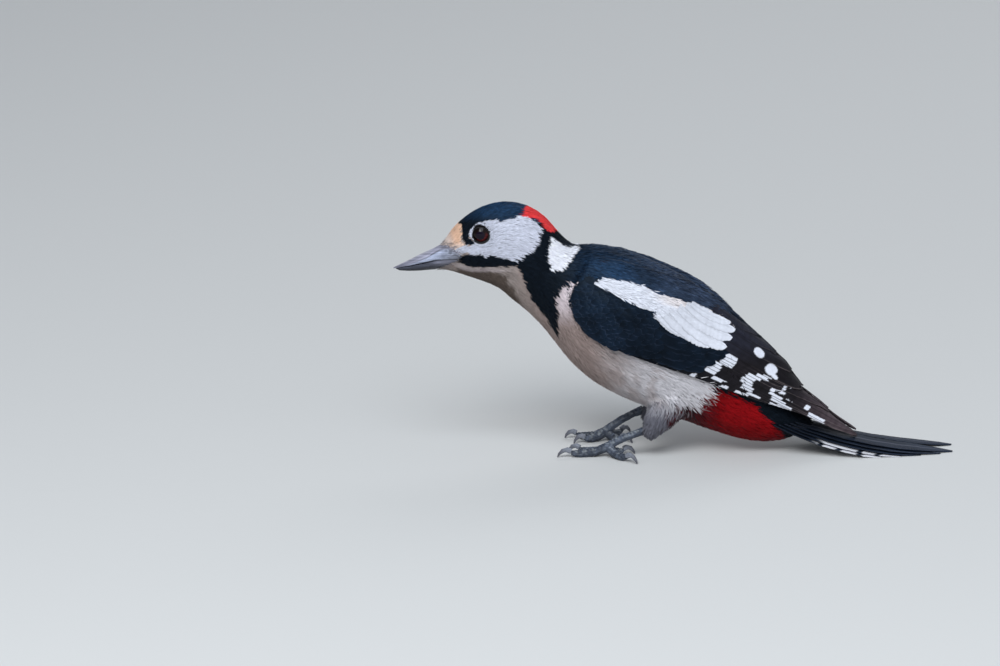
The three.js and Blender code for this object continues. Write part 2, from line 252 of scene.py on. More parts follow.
def corner_normals(points, faces):
    """Normals at the vertices of a mesh whose faces all have the same number of corners."""
    across = np.cross(points[faces[:, 2]] - points[faces[:, 0]], points[faces[:, -1]] - points[faces[:, 1]])
    normals = np.zeros_like(points)
    for corner in faces.T:
        for axis in range(3):
            normals[:, axis] += np.bincount(corner, across[:, axis], len(points))
    return unit(normals)


def neighbour_mean(values, edges):
    count = np.bincount(edges.ravel(), minlength=len(values))
    total = np.empty_like(values)
    for axis in range(values.shape[1]):
        total[:, axis] = np.bincount(edges[:, 0], values[edges[:, 1], axis], len(values))
        total[:, axis] += np.bincount(edges[:, 1], values[edges[:, 0], axis], len(values))
    return total / count[:, None]


class Surface:
    """One closed surface over some solids, of even quads, that feathers can be laid on."""

    def __init__(self, nodes, grow, voxel, rounds):
        mesh = self.remesh(nodes, grow, voxel)
        self.faces = read(mesh.loops, "vertex_index", 1, int).reshape(-1, 4)
        self.edges = read(mesh.edges, "vertices", 2, int)
        self.points = read(mesh.vertices, "co", 3) / MM - SHIFT
        bpy.data.meshes.remove(mesh)
        for _ in range(rounds):
            for step in (0.5, -0.52):  # smoothing inwards, then outwards, keeps the volume
                self.points += step * (neighbour_mean(self.points, self.edges) - self.points)
        self.measure()
        self.points -= grow * self.normals
        self.measure()

    @staticmethod
    def remesh(nodes, grow, voxel):
        """Joins copies of the solids, each grown so that neighbours merge, into one voxel mesh."""
        joined = bmesh.new()
        for name in nodes:
            part = bmesh.new()
            part.from_mesh(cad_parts[name].data)
            bmesh.ops.remove_doubles(part, verts=part.verts, dist=1e-6)
            part.normal_update()
            for vertex in part.verts:
                vertex.co += vertex.normal * grow * MM
            carrier = bpy.data.meshes.new("carrier")
            part.to_mesh(carrier)
            part.free()
            joined.from_mesh(carrier)
            bpy.data.meshes.remove(carrier)
        rough = bpy.data.meshes.new("rough")
        joined.to_mesh(rough)
        joined.free()
        body = bpy.data.objects.new("rough", rough)
        bpy.context.collection.objects.link(body)
        modifier = body.modifiers.new("voxels", "REMESH")
        modifier.mode = "VOXEL"
        modifier.voxel_size = voxel * MM
        evaluated = body.evaluated_get(bpy.context.evaluated_depsgraph_get())
        mesh = bpy.data.meshes.new_from_object(evaluated)
        bpy.data.objects.remove(body)
        bpy.data.meshes.remove(rough)
        return mesh

    def measure(self):
        normals = corner_normals(self.points, self.faces)
        for _ in range(3):
            normals = unit(normals + neighbour_mean(normals, self.edges))
        self.normals = normals
        self.tree = BVHTree.FromPolygons(self.points.tolist(), self.faces.tolist())

    def nearest(self, places):
        """The nearest points on the surface and its normals there, for places of any array shape."""
        shape = places.shape
        found = [self.tree.find_nearest(place) for place in places.reshape(-1, 3).tolist()]
        spots = np.array([hit[0] for hit in found])
        index = np.array([hit[2] for hit in found])
        normals = unit(self.normals[self.faces[index]].mean(1))
        return spots.reshape(shape), normals.reshape(shape)

    def distance(self, places):
        found = [self.tree.find_nearest(place)[3] for place in places.tolist()]
        return np.array(found)

    def seen_at(self, x, w, side):
        """The points of the surface that the side view shows at x and w, or those nearest to that line."""
        reach = 60
        into = Vector((0, -side, -LOOK_DOWN)).normalized()
        spots = []
        for across, height in zip(np.ravel(x), np.ravel(w)):
            start = Vector((across, side * reach, height + LOOK_DOWN * reach))
            hit = self.tree.ray_cast(start, into)[0]
            if hit is None:
                passing = [start + into * (reach * share / 24) for share in range(12, 25)]
                hit = min((self.tree.find_nearest(place) for place in passing), key=lambda found: found[3])[0]
            spots.append(hit)
        return np.array(spots).reshape(np.shape(x) + (3,))

    def scatter(self, spacing, rng):
        """Random points on the surface, about `spacing` apart, with the normals there."""
        corners = self.points[self.faces]
        across = np.cross(corners[:, 2] - corners[:, 0], corners[:, 3] - corners[:, 1])
        area = np.linalg.norm(across, axis=1) / 2
        count = int(area.sum() / spacing**2 * 6)
        chosen = rng.choice(len(area), count, p=area / area.sum())
        u, v = rng.uniform(size=(2, count, 1))
        quad = corners[chosen]
        near = quad[:, 0] * (1 - u) + quad[:, 1] * u
        far = quad[:, 3] * (1 - u) + quad[:, 2] * u
        spots = near * (1 - v) + far * v
        cells = np.floor(spots / (spacing * 1.2)).astype(int)
        first = np.sort(np.unique(cells, axis=0, return_index=True)[1])
        return spots[first], unit(self.normals[self.faces[chosen[first]]].mean(1))


# ---- the body's own directions


# Middle line of the body in the plane y = 0: x and z, from the bill to the tail.
SPINE = np.array([
    [-81, 81], [-64, 86], [-50, 83], [-39, 74], [-27, 65.5], [-8, 54.5], [15.5, 41.5], [38, 25], [58, 13.7],
    [70, 10.3],
], float)
SPINE_STEPS = np.linalg.norm(np.diff(SPINE, axis=0), axis=1)
SPINE_STATIONS = np.concatenate([[0], np.cumsum(SPINE_STEPS)])
SPINE_HEADINGS = unit(np.diff(SPINE, axis=0))
SPINE_MIDDLES = (SPINE_STATIONS[:-1] + SPINE_STATIONS[1:]) / 2


def along_spine(points):
    """Distance along the spine, and the spine's direction, at the nearest place of its line."""
    index, along = nearest_line(points[:, [0, 2]], SPINE[:-1], SPINE[1:])
    return SPINE_STATIONS[index] + along, SPINE_HEADINGS[index]


def columns_at(places, stations, table):
    """The columns of a table of numbers at some stations, read between those given."""
    return np.stack([np.interp(places, stations, column) for column in table.T], -1)


def unwrap(points):
    """Places on an unrolled skin: u from bill to tail, v round the body from belly to belly."""
    length, heading = along_spine(points)
    out = points[:, [0, 2]] - columns_at(length, SPINE_STATIONS, SPINE)
    height = out[:, 1] * heading[:, 0] - out[:, 0] * heading[:, 1]
    angle = np.arctan2(points[:, 1], height)
    return np.stack([length / SPINE_STEPS.sum(), angle / (2 * math.pi) + 0.5], -1)


LEG = np.array([[12.0, 9.0, 20.0], [2.6, 11.8, 8.6]])  # middle line of a thigh, from the body down
LEG_FLOW = unit(np.array([-0.35, 0, -0.92]))


def leg_distance(points):
    """Distance from the middle line of the nearer thigh."""
    return on_segment(folded(points), *LEG)[1]


def parted_by_eye(points, flow):
    """Directions near an eye, without the part that would point into it."""
    from_eye = (folded(points) - EYE) * [1, 0, 1]
    outward = unit(from_eye)
    near = ease(7.5, 4.5, np.linalg.norm(from_eye, axis=1))
    inward = np.minimum((flow * outward).sum(1), 0) * near
    return flow - outward * inward[:, None] * 1.1


def lie(points, normals):
    """The way the feathers point: away from the bill on the face, then along the body, and down the legs."""
    length = along_spine(points)[0]
    heading = columns_at(length, SPINE_MIDDLES, SPINE_HEADINGS)
    back = unit(np.insert(heading, 1, 0, axis=1))
    flow = blend(unit(points - BILL_BASE), back, ease(14, 34, length))
    flow = blend(flow, LEG_FLOW, ease(13, 7, leg_distance(points)))
    return flattened(parted_by_eye(points, flow), normals)


# ---- plumage colours


def pale_plumage(points, x, w, ragged):
    """Throat, breast, belly and thighs, with the red vent; painted shade darkens the vent, the throat's
    underside and the thighs.
    """
    # Painted shade on the vent: its red darkens towards the front and the bottom.
    vent_light = ease(20, 38, x) * (0.45 + 0.55 * ease(2, 15, w)) + 0.08 * mottle(points, 7, 5)
    vent = depth_inside(VENT, x, w) + 1.8 * mottle(points, 1.2, 4) * ease(40, 24, x)
    from_black = np.abs(depth_inside(BLACK, x, w) + 1.2)
    return layered(
        THROAT,
        (BREAST, ease(-56, -36, x)),
        (BELLY, ease(-24, 6, x)),
        (BREAST, 0.45 * ease(0.1, 0.9, mottle(points, 9, 3))),
        (STRIP, ease(50, 62, w) * ease(-37, -33, x)),
        # Painted shade with some brown plumage under the throat.
        (CHIN_BROWN_SHADE, 0.85 * ease(-1.6, 1.2, depth_inside(CHIN, x, w) + 2 * ragged)),
        # Grey thigh feathers, darkened as painted shade.
        (SHADED_THIGH_GREY, ease(11, 7, leg_distance(points)) * ease(25, 13, w)),
        (blend(VENT_SHADE_RED, VENT_RED, vent_light), ease(-1.2 - 2.0 * ease(36, 26, x), 0.9, vent)),
        (STRIP, 0.35 * ease(1.3, 0.5, from_black) * ease(-52, -58, x) * ease(79, 77, w)),
    )


def black_plumage(points, x, w):
    """Black, with a blue painted reflection of the sky over the mantle."""
    mantle = blend(BLUE_SHEEN_BLACK, MANTLE_SKY_SHEEN, ease(-14, 18, x))
    # Painted reflection of the sky over the upper back.
    back = ease(46, 60, w + 0.35 * x) * ease(-36, -8, x) * ease(50, 30, x)
    return blend(INK, mantle, back * (0.85 + 0.25 * mottle(points, 12, 5)))


def crown_plumage(points, x, w):
    # Painted reflection of the sky: the black turns blue on the top of the crown.
    behind = np.minimum(ease(-62, -54, x) + ease(94, 100, w), 1)
    return blend(INK, CROWN_SKY_SHEEN, ease(90, 101, w) * behind * (0.8 + 0.25 * mottle(points, 6, 5)))


def plumage(points):
    """Colour of the plumage at places on the body, with edges as ragged as feathers make them."""
    x, w = side_view(points)
    ragged = 0.28 * mottle(points, 1.3, 1) + 0.25 * mottle(points, 3.5, 2)
    colour = pale_plumage(points, x, w, ragged)
    patch = blend(WHITE, PINK_WHITE, 0.6 * ease(0, 14, x) * ease(-1.0, 1.5, w - 64 + 0.33 * x))
    for outline, paint in [
        (BLACK, black_plumage(points, x, w)), (CAP, crown_plumage(points, x, w)), (CHEEK, CHEEK_WHITE),
        (NECK_PATCH, NECK_WHITE_LIT), (FOREHEAD, BUFF), (NAPE, SCARLET), (SCAPULAR, patch),
    ]:
        colour = blend(colour, paint, ease(-0.12, 0.12, depth_inside(outline, x, w) + ragged))
    by_bill = 0.75 * ease(-74.5, -78, x + 0.35 * (w - 86)) * ease(83, 85, w)
    low = 0.6 * ease(87.2, 85.0, w) * ease(-0.2, 0.2, depth_inside(FOREHEAD, x, w))
    colour = blend(colour, PINK_WHITE, np.maximum(by_bill, low))
    lore = np.hypot(x + 68.9, (w - 86.4) * 1.6)
    return blend(colour, INK, ease(1.5, 0.9, lore + ragged))


# ---- building pieces


class Pile:
    """The vertices, triangles, colours and map places of one piece, gathered bit by bit."""

    def __init__(self):
        self.bits = []
        self.count = 0

    def add(self, points, faces, colours, bake=None, barbs=None, slot=0, normals=None):
        """Arrays of vertices; `slot` is a material number for all the faces or for each."""
        n = len(points)
        bake = np.zeros((n, 2)) if bake is None else bake
        barbs = np.zeros((n, 2)) if barbs is None else barbs
        normals = np.zeros((n, 3)) if normals is None else normals
        slots = np.broadcast_to(slot, len(faces))
        self.bits.append((points, faces + self.count, colours, bake, barbs, slots, normals))
        self.count += n

    def make(self, name, materials, replaces=(), bake=True):
        points, faces, colours, bakes, barbs, slots, normals = map(np.concatenate, zip(*self.bits))
        mesh = bpy.data.meshes.new(name)
        mesh.vertices.add(len(points))
        mesh.vertices.foreach_set("co", ((points + SHIFT) * MM).ravel())
        mesh.loops.add(faces.size)
        mesh.loops.foreach_set("vertex_index", faces.ravel().astype(np.int32))
        mesh.polygons.add(len(faces))
        mesh.polygons.foreach_set("loop_start", np.arange(0, faces.size, 3, dtype=np.int32))
        mesh.polygons.foreach_set("material_index", slots.astype(np.int32))
        mesh.polygons.foreach_set("use_smooth", np.ones(len(faces), bool))
        mesh.update(calc_edges=True)
        layer = mesh.color_attributes.new("Plumage", "FLOAT_COLOR", "POINT")
        layer.data.foreach_set("color", np.clip(np.insert(colours, 3, 1, axis=1), 0, 1).ravel())
        if bake:
            for layer_name, places in (("OFBake", bakes), ("Barbs", barbs)):
                layer = mesh.uv_layers.new(name=layer_name)
                layer.data.foreach_set("uv", places[faces.ravel()].ravel())
        for material in materials:
            mesh.materials.append(material)
        if normals.any():
            mesh.normals_split_custom_set_from_vertices(normals.tolist())
        piece = bpy.data.objects.new(name, mesh)
        bpy.context.collection.objects.link(piece)
        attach(piece, "root")
        if replaces:
            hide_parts(*replaces)


def make_shell(name, points, faces, colours, materials, replaces):
    """A piece of one closed surface, without a bake map."""
    pile = Pile()
    pile.add(points, faces, colours)
    pile.make(name, materials, replaces, bake=False)


def bake_places(roots):
    """Places of roots on the piece's own bake map: the unrolled skin, spread over the map with a margin."""
    places = unwrap(roots)
    low, high = places.min(0), places.max(0)
    return 0.01 + 0.98 * (places - low) / np.maximum(high - low, 1e-6)


# Tufts: slender three-sided blades, each of three rings and a point.
TUFT_STATIONS = np.array([0.0, 0.42, 0.8, 1.0])
TUFT_WIDTH = np.array([0.7, 1.0, 0.72])
# Painted shade: each tuft darkens towards its root, under the tufts that lie over it.
TUFT_SHADE = np.repeat([0.70, 0.92, 1.03, 1.08], [3, 3, 3, 1])
TUFT_SIDES = [(3 * ring + i, 3 * ring + (i + 1) % 3) for ring in range(2) for i in range(3)]
TUFT_FACES = np.array(
    [[0, 1, 2]] + [[i, i + 3, j] for i, j in TUFT_SIDES] + [[j, i + 3, j + 3] for i, j in TUFT_SIDES]
    + [[6, 9, 7], [7, 9, 8], [8, 9, 6]]
)
TRIANGLE_LIMIT = 190000  # the most in one piece of tufts
PATCH = 0.003  # size of a tuft's patch on the bake map
LEAP = 0.65  # a tuft with a step longer than this share of it has jumped to another part, and is left out
SHADE_ROUND = 0.45  # how round a tuft is shaded across; its own faces are far rounder than down looks


def pick(rows, chosen):
    """The chosen rows of each array."""
    return {name: values[chosen] for name, values in rows.items()}


def stacked(rings, tips):
    """Three vertices for each ring of a tuft and one for its tip, in the order of TUFT_FACES."""
    return np.concatenate([rings.reshape(len(tips), 9, 3), tips], 1)


def tufts(pile, surface, rows, rng):
    """Adds one slender blade a root: it starts `sunk` below the surface and its tip lies `proud` above it."""
    roots, length = rows["roots"], rows["length"]
    sideways = np.cross(rows["normals"], rows["flow"])
    bend = rng.normal(0, 0.10, len(roots)) * length
    centres = roots[:, None] + rows["flow"][:, None] * (length[:, None] * TUFT_STATIONS)[..., None]
    centres = centres + sideways[:, None] * (bend[:, None] * TUFT_STATIONS**2)[..., None]
    spots, up = surface.nearest(centres)
    whole = np.linalg.norm(np.diff(spots, axis=1), axis=2).max(1) < LEAP * length
    rows = pick(rows, whole)
    spots, up, sideways = spots[whole], up[whole], sideways[whole, None]
    n = len(spots)
    sunk, proud = rows["sunk"][:, None], rows["proud"][:, None]
    spots = spots + up * (-sunk + (sunk + proud) * TUFT_STATIONS**1.2)[..., None]
    half = (rows["width"][:, None] * TUFT_WIDTH / 2)[..., None]
    across = sideways * half
    ridge = up[:, :3] * half * 0.4
    rings = np.stack([spots[:, :3] - across, spots[:, :3] + ridge, spots[:, :3] + across], 2)
    soft = unit(up + rng.normal(0, 0.10, (n, 1, 3)))[:, :3]
    lean = sideways * SHADE_ROUND
    soft = unit(stacked(np.stack([soft - lean, soft, soft + lean], 2), up[:, 3:]))
    tint = rng.normal(1, 0.06, (n, 1))
    colours = rows["colour"][:, None] * (TUFT_SHADE * tint)[..., None]
    corner = np.concatenate([np.tile([[-0.5, 0], [0, 0], [0.5, 0]], (3, 1)), [[0, 0.5]]])
    corner[:9, 1] = np.repeat(TUFT_STATIONS[:3] - 0.5, 3)
    bake = rows["place"][:, None] + corner * PATCH * 0.9
    faces = TUFT_FACES[None] + 10 * np.arange(n)[:, None, None]
    slots = np.repeat(rows["gloss"], len(TUFT_FACES))
    pile.add(
        stacked(rings, spots[:, 3:]).reshape(-1, 3), faces.reshape(-1, 3), colours.reshape(-1, 3),
        bake.reshape(-1, 2), None, slots, soft.reshape(-1, 3),
    )


def make_tufts(name, surface, materials, rng, **rows):
    """Makes tufts at the rows' roots: one piece, or as many as the limit of triangles asks for."""
    n = len(rows["roots"])
    rows["place"] = bake_places(rows["roots"])
    rows["gloss"] = is_dark(rows["colour"]) * (GLOSS in materials)
    parts = math.ceil(n / (TRIANGLE_LIMIT // len(TUFT_FACES)))
    for part in range(parts):
        pile = Pile()
        tufts(pile, surface, pick(rows, np.arange(part, n, parts)), rng)
        pile.make(name if parts == 1 else f"{name}_{part + 1}", materials)


OVERHANG = 0.4  # how far a broad feather may reach past the edge of the surface under it


def grid_faces(rows, columns):
    """Triangles of a thin closed leaf: a top and an underside of rows x columns that share their rim."""
    top = np.arange(rows * columns).reshape(rows, columns)
    under = top.copy()
    inner = (rows - 2) * (columns - 2)
    under[1:-1, 1:-1] = rows * columns + np.arange(inner).reshape(rows - 2, columns - 2)
    faces = []
    for sheet, turn in ((top, -1), (under, 1)):
        a, b = sheet[:-1, :-1].ravel(), sheet[:-1, 1:].ravel()
        c, d = sheet[1:, 1:].ravel(), sheet[1:, :-1].ravel()
        faces += [np.stack([a, b, c][::turn], 1), np.stack([a, c, d][::turn], 1)]
    return np.concatenate(faces)


def add_leaves(pile, top, under, colours, bake=None, barbs=None, normals=None, turned=False):
    """Adds thin closed leaves: top is (n, rows, columns, 3), and under lies below its inner part."""
    n, rows, columns = top.shape[:3]

    def both(values):
        size = values.shape[-1]
        inner = values[:, 1:-1, 1:-1].reshape(n, -1, size)
        return np.concatenate([values.reshape(n, -1, size), inner], 1).reshape(-1, size)

    points = np.concatenate([top.reshape(n, -1, 3), under.reshape(n, -1, 3)], 1)
    leaf = grid_faces(rows, columns)[:, ::-1 if turned else 1]
    faces = (leaf[None] + points.shape[1] * np.arange(n)[:, None, None]).reshape(-1, 3)
    bake, barbs, normals = (None if values is None else both(values) for values in (bake, barbs, normals))
    pile.add(points.reshape(-1, 3), faces, both(colours), bake, barbs, 0, normals)


def barb_map(distance, reach, slope):
    """Map on which the barbs are stripes: they slope forward from the shaft, apart on its two sides."""
    side = np.sign(np.linspace(-1, 1, reach.shape[-1]))
    return np.stack([distance[..., None] - np.abs(reach) * slope, reach + 40 * side], -1)


def frayed(widths, edge):
    """Distances from the shaft across a vane, drawn in by the fraying of its two edges."""
    return widths * np.where(widths < 0, edge[..., :1], edge[..., 1:])


def vanes(pile, surface, centres, half, lift, paint, place, span, rng, columns, camber, thick, tilt, fray,
          hug=(-1.2, 0.6), narrow=None, ridge=0.06):
    """Adds feathers with broad vanes.

    centres: (n, rows, 3) middle lines near the surface; half: (n, rows) half widths; lift: (n, rows) heights.
    paint(points, t, across) gives colours; place and span: (n, 2) middle and size on the bake map.
    tilt raises the edge on the positive side and sinks the other; narrow(places) may draw them in.
    """
    n, rows = half.shape
    spots, up = surface.nearest(centres)
    sideways = unit(np.cross(up, unit(np.gradient(spots, axis=1))))[:, :, None]
    across = np.linspace(-1, 1, columns)
    edge = 1 - fray * rng.uniform(size=(n, rows, 2)) ** 2
    widths = frayed(half[..., None] * across, edge)
    places = spots[:, :, None] + sideways * widths[..., None]
    if narrow:
        places = narrow(places)
    up = up[:, :, None]
    near, _ = surface.nearest(places)
    drop = ((near - places) * up).sum(-1)
    beyond = near - places - up * drop[..., None]
    overhang = np.linalg.norm(beyond, axis=-1, keepdims=True)
    places = places + beyond * np.clip(1 - OVERHANG / np.maximum(overhang, 1e-6), 0, 1)
    rise = np.clip(drop, *hug) + lift[..., None] + tilt * across + camber * (1 - across**2)
    shaft = ridge * bell(across, 0.12)
    top = places + up * rise[..., None] + up * shaft[:, None]
    if narrow:
        top = narrow(top)
    under = top[:, 1:-1, 1:-1] - up[:, 1:-1] * thick
    t = np.broadcast_to(np.linspace(0, 1, rows)[:, None], widths.shape)
    across = np.broadcast_to(across, widths.shape)
    distance = np.cumsum(np.linalg.norm(np.diff(spots, axis=1, prepend=spots[:, :1]), axis=2), axis=1)
    bake = place[:, None, None] + np.stack([t - 0.5, across * 0.5], -1) * span[:, None, None]
    round_shaft = 0.25 * ridge / 0.06 * across * bell(across, 0.25)
    soft = unit(up + sideways * (0.22 * across + round_shaft)[..., None])
    add_leaves(pile, top, under, paint(top, t, across), bake, barb_map(distance, widths, 1.2), soft)


def round_tip(t, blunt=0.35, root=0.3):
    """Share of the full width along a feather that narrows to its root and has a rounded tip."""
    start = root + (1 - root) * np.minimum(t / 0.35, 1) ** 0.7
    end = np.sqrt(np.clip(1 - (np.maximum(t - (1 - blunt), 0) / blunt) ** 2, 0.0, 1))
    return np.maximum(start * end, 0.02)


# ---- materials


def add_node(tree, kind, **settings):
    """A new node of a material; settings of its sockets have _ for each space in their names."""
    node = tree.nodes.new("ShaderNode" + kind)
    for setting, value in settings.items():
        node.inputs[setting.replace("_", " ")].default_value = value
    return node


def painted_material(name, grain_scale, grain_detail, tones, **settings):
    """Painted colour, varied by a fine grain. Gives the material, its node tree and the grain's output."""
    material = bpy.data.materials.new(name)
    material.use_nodes = True
    tree = material.node_tree
    shader = tree.nodes["Principled BSDF"]
    for setting, value in settings.items():
        shader.inputs[setting.replace("_", " ")].default_value = value
    paint = add_node(tree, "VertexColor")
    paint.layer_name = "Plumage"
    place = add_node(tree, "TexCoord")
    grain = add_node(tree, "TexNoise", Scale=grain_scale, Detail=grain_detail)
    span = add_node(tree, "MapRange", To_Min=tones[0], To_Max=tones[1])
    mix = add_node(tree, "VectorMath")
    mix.operation = "SCALE"
    for output, socket in (
        (place.outputs["Object"], grain.inputs["Vector"]),
        (grain.outputs["Fac"], span.inputs["Value"]),
        (paint.outputs["Color"], mix.inputs[0]),
        (span.outputs["Result"], mix.inputs["Scale"]),
        (mix.outputs["Vector"], shader.inputs["Base Color"]),
    ):
        tree.links.new(output, socket)
    return material, tree, grain.outputs["Fac"]


def add_bump(tree, height, depth, strength):
    bump = add_node(tree, "Bump", Distance=depth * MM, Strength=strength)
    tree.links.new(height, bump.inputs["Height"])
    tree.links.new(bump.outputs["Normal"], tree.nodes["Principled BSDF"].inputs["Normal"])


def feather_material(name, roughness, sheen, specular, barb_depth=0, tint=(1, 1, 1)):
    """Plumage; where barb_depth isn't 0, with the ribbing of the barbs."""
    material, tree, _ = painted_material(
        name, 900, 3, (0.88, 1.12), Roughness=roughness, Specular_IOR_Level=specular,
        Specular_Tint=(*tint, 1), Sheen_Weight=sheen, Sheen_Roughness=0.4,
    )
    if barb_depth:
        barbs = add_node(tree, "UVMap")
        barbs.uv_map = "Barbs"
        wave = add_node(tree, "TexWave", Scale=0.6, Distortion=1.2, Detail=2)
        wave.bands_direction = "X"
        tree.links.new(barbs.outputs["UV"], wave.inputs["Vector"])
        add_bump(tree, wave.outputs["Fac"], barb_depth, 0.6)
    return material


def horny_material(name, roughness, specular, coat, grain_size, grain_depth=0, coat_roughness=0.12):
    """A horny or leathery surface, with a fine grain in its height and tone."""
    material, tree, grain = painted_material(
        name, 1000 / grain_size, 4, (0.82, 1.18), Roughness=roughness, Specular_IOR_Level=specular,
        Coat_Weight=coat, Coat_Roughness=coat_roughness,
    )
    if grain_depth:
        add_bump(tree, grain, grain_depth, 0.5)
    return material


BLUE_GLOSS = (0.55, 0.75, 1.0)
SOFT = feather_material("feather_soft", roughness=0.9, sheen=0.1, specular=0.06)
GLOSS = feather_material("feather_gloss", roughness=0.45, sheen=0, specular=0.14, tint=BLUE_GLOSS)
SOFT_VANE = feather_material("vane_soft", roughness=0.8, sheen=0.1, specular=0.12, barb_depth=0.04)
GLOSS_VANE = feather_material(
    "vane_gloss", roughness=0.42, sheen=0, specular=0.12, barb_depth=0.04, tint=BLUE_GLOSS,
)
FLIGHT_VANE = feather_material("vane_flight", roughness=0.5, sheen=0, specular=0.10, barb_depth=0.04)
HORN = horny_material("horn", 0.42, 0.25, coat=0.08, grain_size=0.5, grain_depth=0.03)
SCALE = horny_material("leg_skin", 0.6, 0.25, coat=0.05, grain_size=0.25, grain_depth=0.05)
EYEBALL = horny_material("eyeball", 0.12, 0.02, coat=0.40, grain_size=0.3, coat_roughness=0.05)


def is_dark(colours):
    """1 for black plumage, which is glossy, and 0 for the rest."""
    return (colours.mean(-1) < 0.06).astype(int)


# ---- skin and wing beds

COAT_DEPTH = [(-80, 0.3), (-62, 0.5), (-44, 0.7), (-28, 0.9), (0, 1.1), (70, 1.0)]  # at x


def coat_depth(points):
    return np.interp(points[..., 0], *zip(*COAT_DEPTH))


def triangles(quads):
    return np.concatenate([quads[:, :3], quads[:, [0, 2, 3]]])


# Rings of an eye's lids: radius and height on the eyeball, then radius and depth under the feathers.
LID_PROFILE = [(3.32, 2.34), (3.20, 2.66), (3.24, 2.82), (3.36, 2.86), (3.50, 2.72)]
LID_SKIRT = [(3.62, 0.35), (4.4, 0.9), (5.6, 1.2)]
LID_GREY, LID_MARGIN = 0.022, (0.010, 0.009, 0.010)
SOCKET = EYE_RADIUS + 0.15  # the skin stays this far from the middle of an eyeball


def eye_frame(side):
    """Middle of an eyeball, and its axis with two directions across it."""
    axis = unit(EYE_AXIS * [1, side, 1])
    across = unit(np.cross([0, 0, 1], axis))
    return EYE * [1, side, 1], axis, across, np.cross(axis, across)


def lids(pile, form):
    """Both eyes' lids: a thin dark margin on the eyeball that runs out under the feathers."""
    around = np.linspace(0, 2 * math.pi, 72, endpoint=False)[:, None]
    squeeze = 1 - 0.03 * (1 - np.cos(2 * around))
    for side in SIDES.values():
        centre, axis, across, above = eye_frame(side)
        circle = np.cos(around) * across + np.sin(around) * above
        rings = []
        for radius, height in LID_PROFILE:
            fold = 0.03 * np.sin(around * 9) * (radius > 3.3)
            rings.append(centre + circle * radius * squeeze + axis * (height + fold))
        for radius, depth in LID_SKIRT:
            spots, normals = form.nearest(centre + circle * radius + axis * 3)
            rings.append(spots - normals * depth)
        rings = np.array(rings)
        colours = np.full(rings.shape, LID_GREY)
        colours[:2] = LID_MARGIN
        index = np.arange(rings[..., 0].size).reshape(rings.shape[:2])
        pile.add(rings.reshape(-1, 3), tube_faces(index), colours.reshape(-1, 3))


def tube_faces(index):
    """Triangles between rings of vertices, given as a table of vertex numbers with a row for each ring."""
    a, b = index[:-1], np.roll(index[:-1], -1, 1)
    c, d = np.roll(index[1:], -1, 1), index[1:]
    return np.concatenate([np.stack([a, b, c], -1).reshape(-1, 3), np.stack([a, c, d], -1).reshape(-1, 3)])


def make_skin(surface, form):
    points = surface.points - surface.normals * coat_depth(surface.points)[:, None]
    for side in SIDES.values():
        centre = EYE * [1, side, 1]
        out = points - centre
        inside = np.linalg.norm(out, axis=1) < SOCKET
        points[inside] = centre + unit(out[inside]) * SOCKET
    pile = Pile()
    # The skin takes the plumage's colour, darkened as painted shade for where it shows between the tufts.
    pile.add(points, triangles(surface.faces), plumage(surface.points) * 0.7)
    lids(pile, form)
    pile.make("skin", [SOFT], FLESH, bake=False)


def make_wing_bed(name, surface, nodes):
    """The dark body of a folded wing, which shows only in gaps between its feathers."""
    x, w = side_view(surface.points)
    colour = layered(
        INK,
        (SLATE, 0.8 * ease(40, 48, w)),
        (WING_TIP, ease(56, 72, x)),
        # In front of the coverts, the plumage's colour darkened as painted shade.
        (plumage(surface.points) * 0.8, ease(-15, -18, x) * ease(0.5, -0.5, depth_inside(COVERTS, x, w))),
    )
    points = surface.points - surface.normals * 0.5
    make_shell(name, points, triangles(surface.faces), colour, [SOFT], nodes)


# ---- coats of tufts


def coat(name, form, roots, normals, length, width, proud, seed, spread=1.0, sunk=None, stray=0):
    """A piece of tufts over the body, coloured by the markings a little way along each tuft.

    spread: how far their directions vary; sunk: depth of the roots; stray: how far colours stray, in mm.
    """
    rng = np.random.default_rng(seed)
    n = len(roots)
    flow = lie(roots, normals)
    turn = rng.normal(0, 0.10 * spread, n)[:, None]
    flow = unit(flow * np.cos(turn) + np.cross(normals, flow) * np.sin(turn))
    from_eye = eye_distance(roots)
    near_eye = ease(6.5, 4, from_eye)
    length = length * rng.uniform(0.75, 1.2, n) * (1 - 0.6 * near_eye)
    width = width * rng.uniform(0.75, 1.25, n) * (1 - 0.2 * near_eye)
    sample = roots + flow * (length * 0.6)[:, None]
    colour = plumage(sample + rng.normal(size=(n, 3)) * np.broadcast_to(stray, n)[:, None])
    colour = colour * np.exp(rng.normal(0, 0.28, n) * is_dark(colour))[:, None]
    if sunk is None:
        sunk = coat_depth(roots) * (1 - 0.75 * ease(5.2, 4.0, from_eye))
    make_tufts(
        name, form, [SOFT, GLOSS], rng, roots=roots, normals=normals, flow=flow, length=length, width=width,
        sunk=np.broadcast_to(sunk, n), proud=proud * rng.uniform(0.2, 1.3, n), colour=colour,
    )


def eye_distance(points):
    """Distance from the axis of the nearer eye."""
    centre, axis, _, _ = eye_frame(1)
    out = folded(points) - centre
    return np.linalg.norm(out - (out @ axis)[:, None] * axis, axis=1)


def wing_gap(points, wings):
    """Distance to the nearer wing; points of the head are simply far."""
    gap = np.full(len(points), 9.0)
    behind = points[:, 0] > -32
    for wing in wings.values():
        gap[behind] = np.minimum(gap[behind], wing.distance(points[behind]))
    return gap


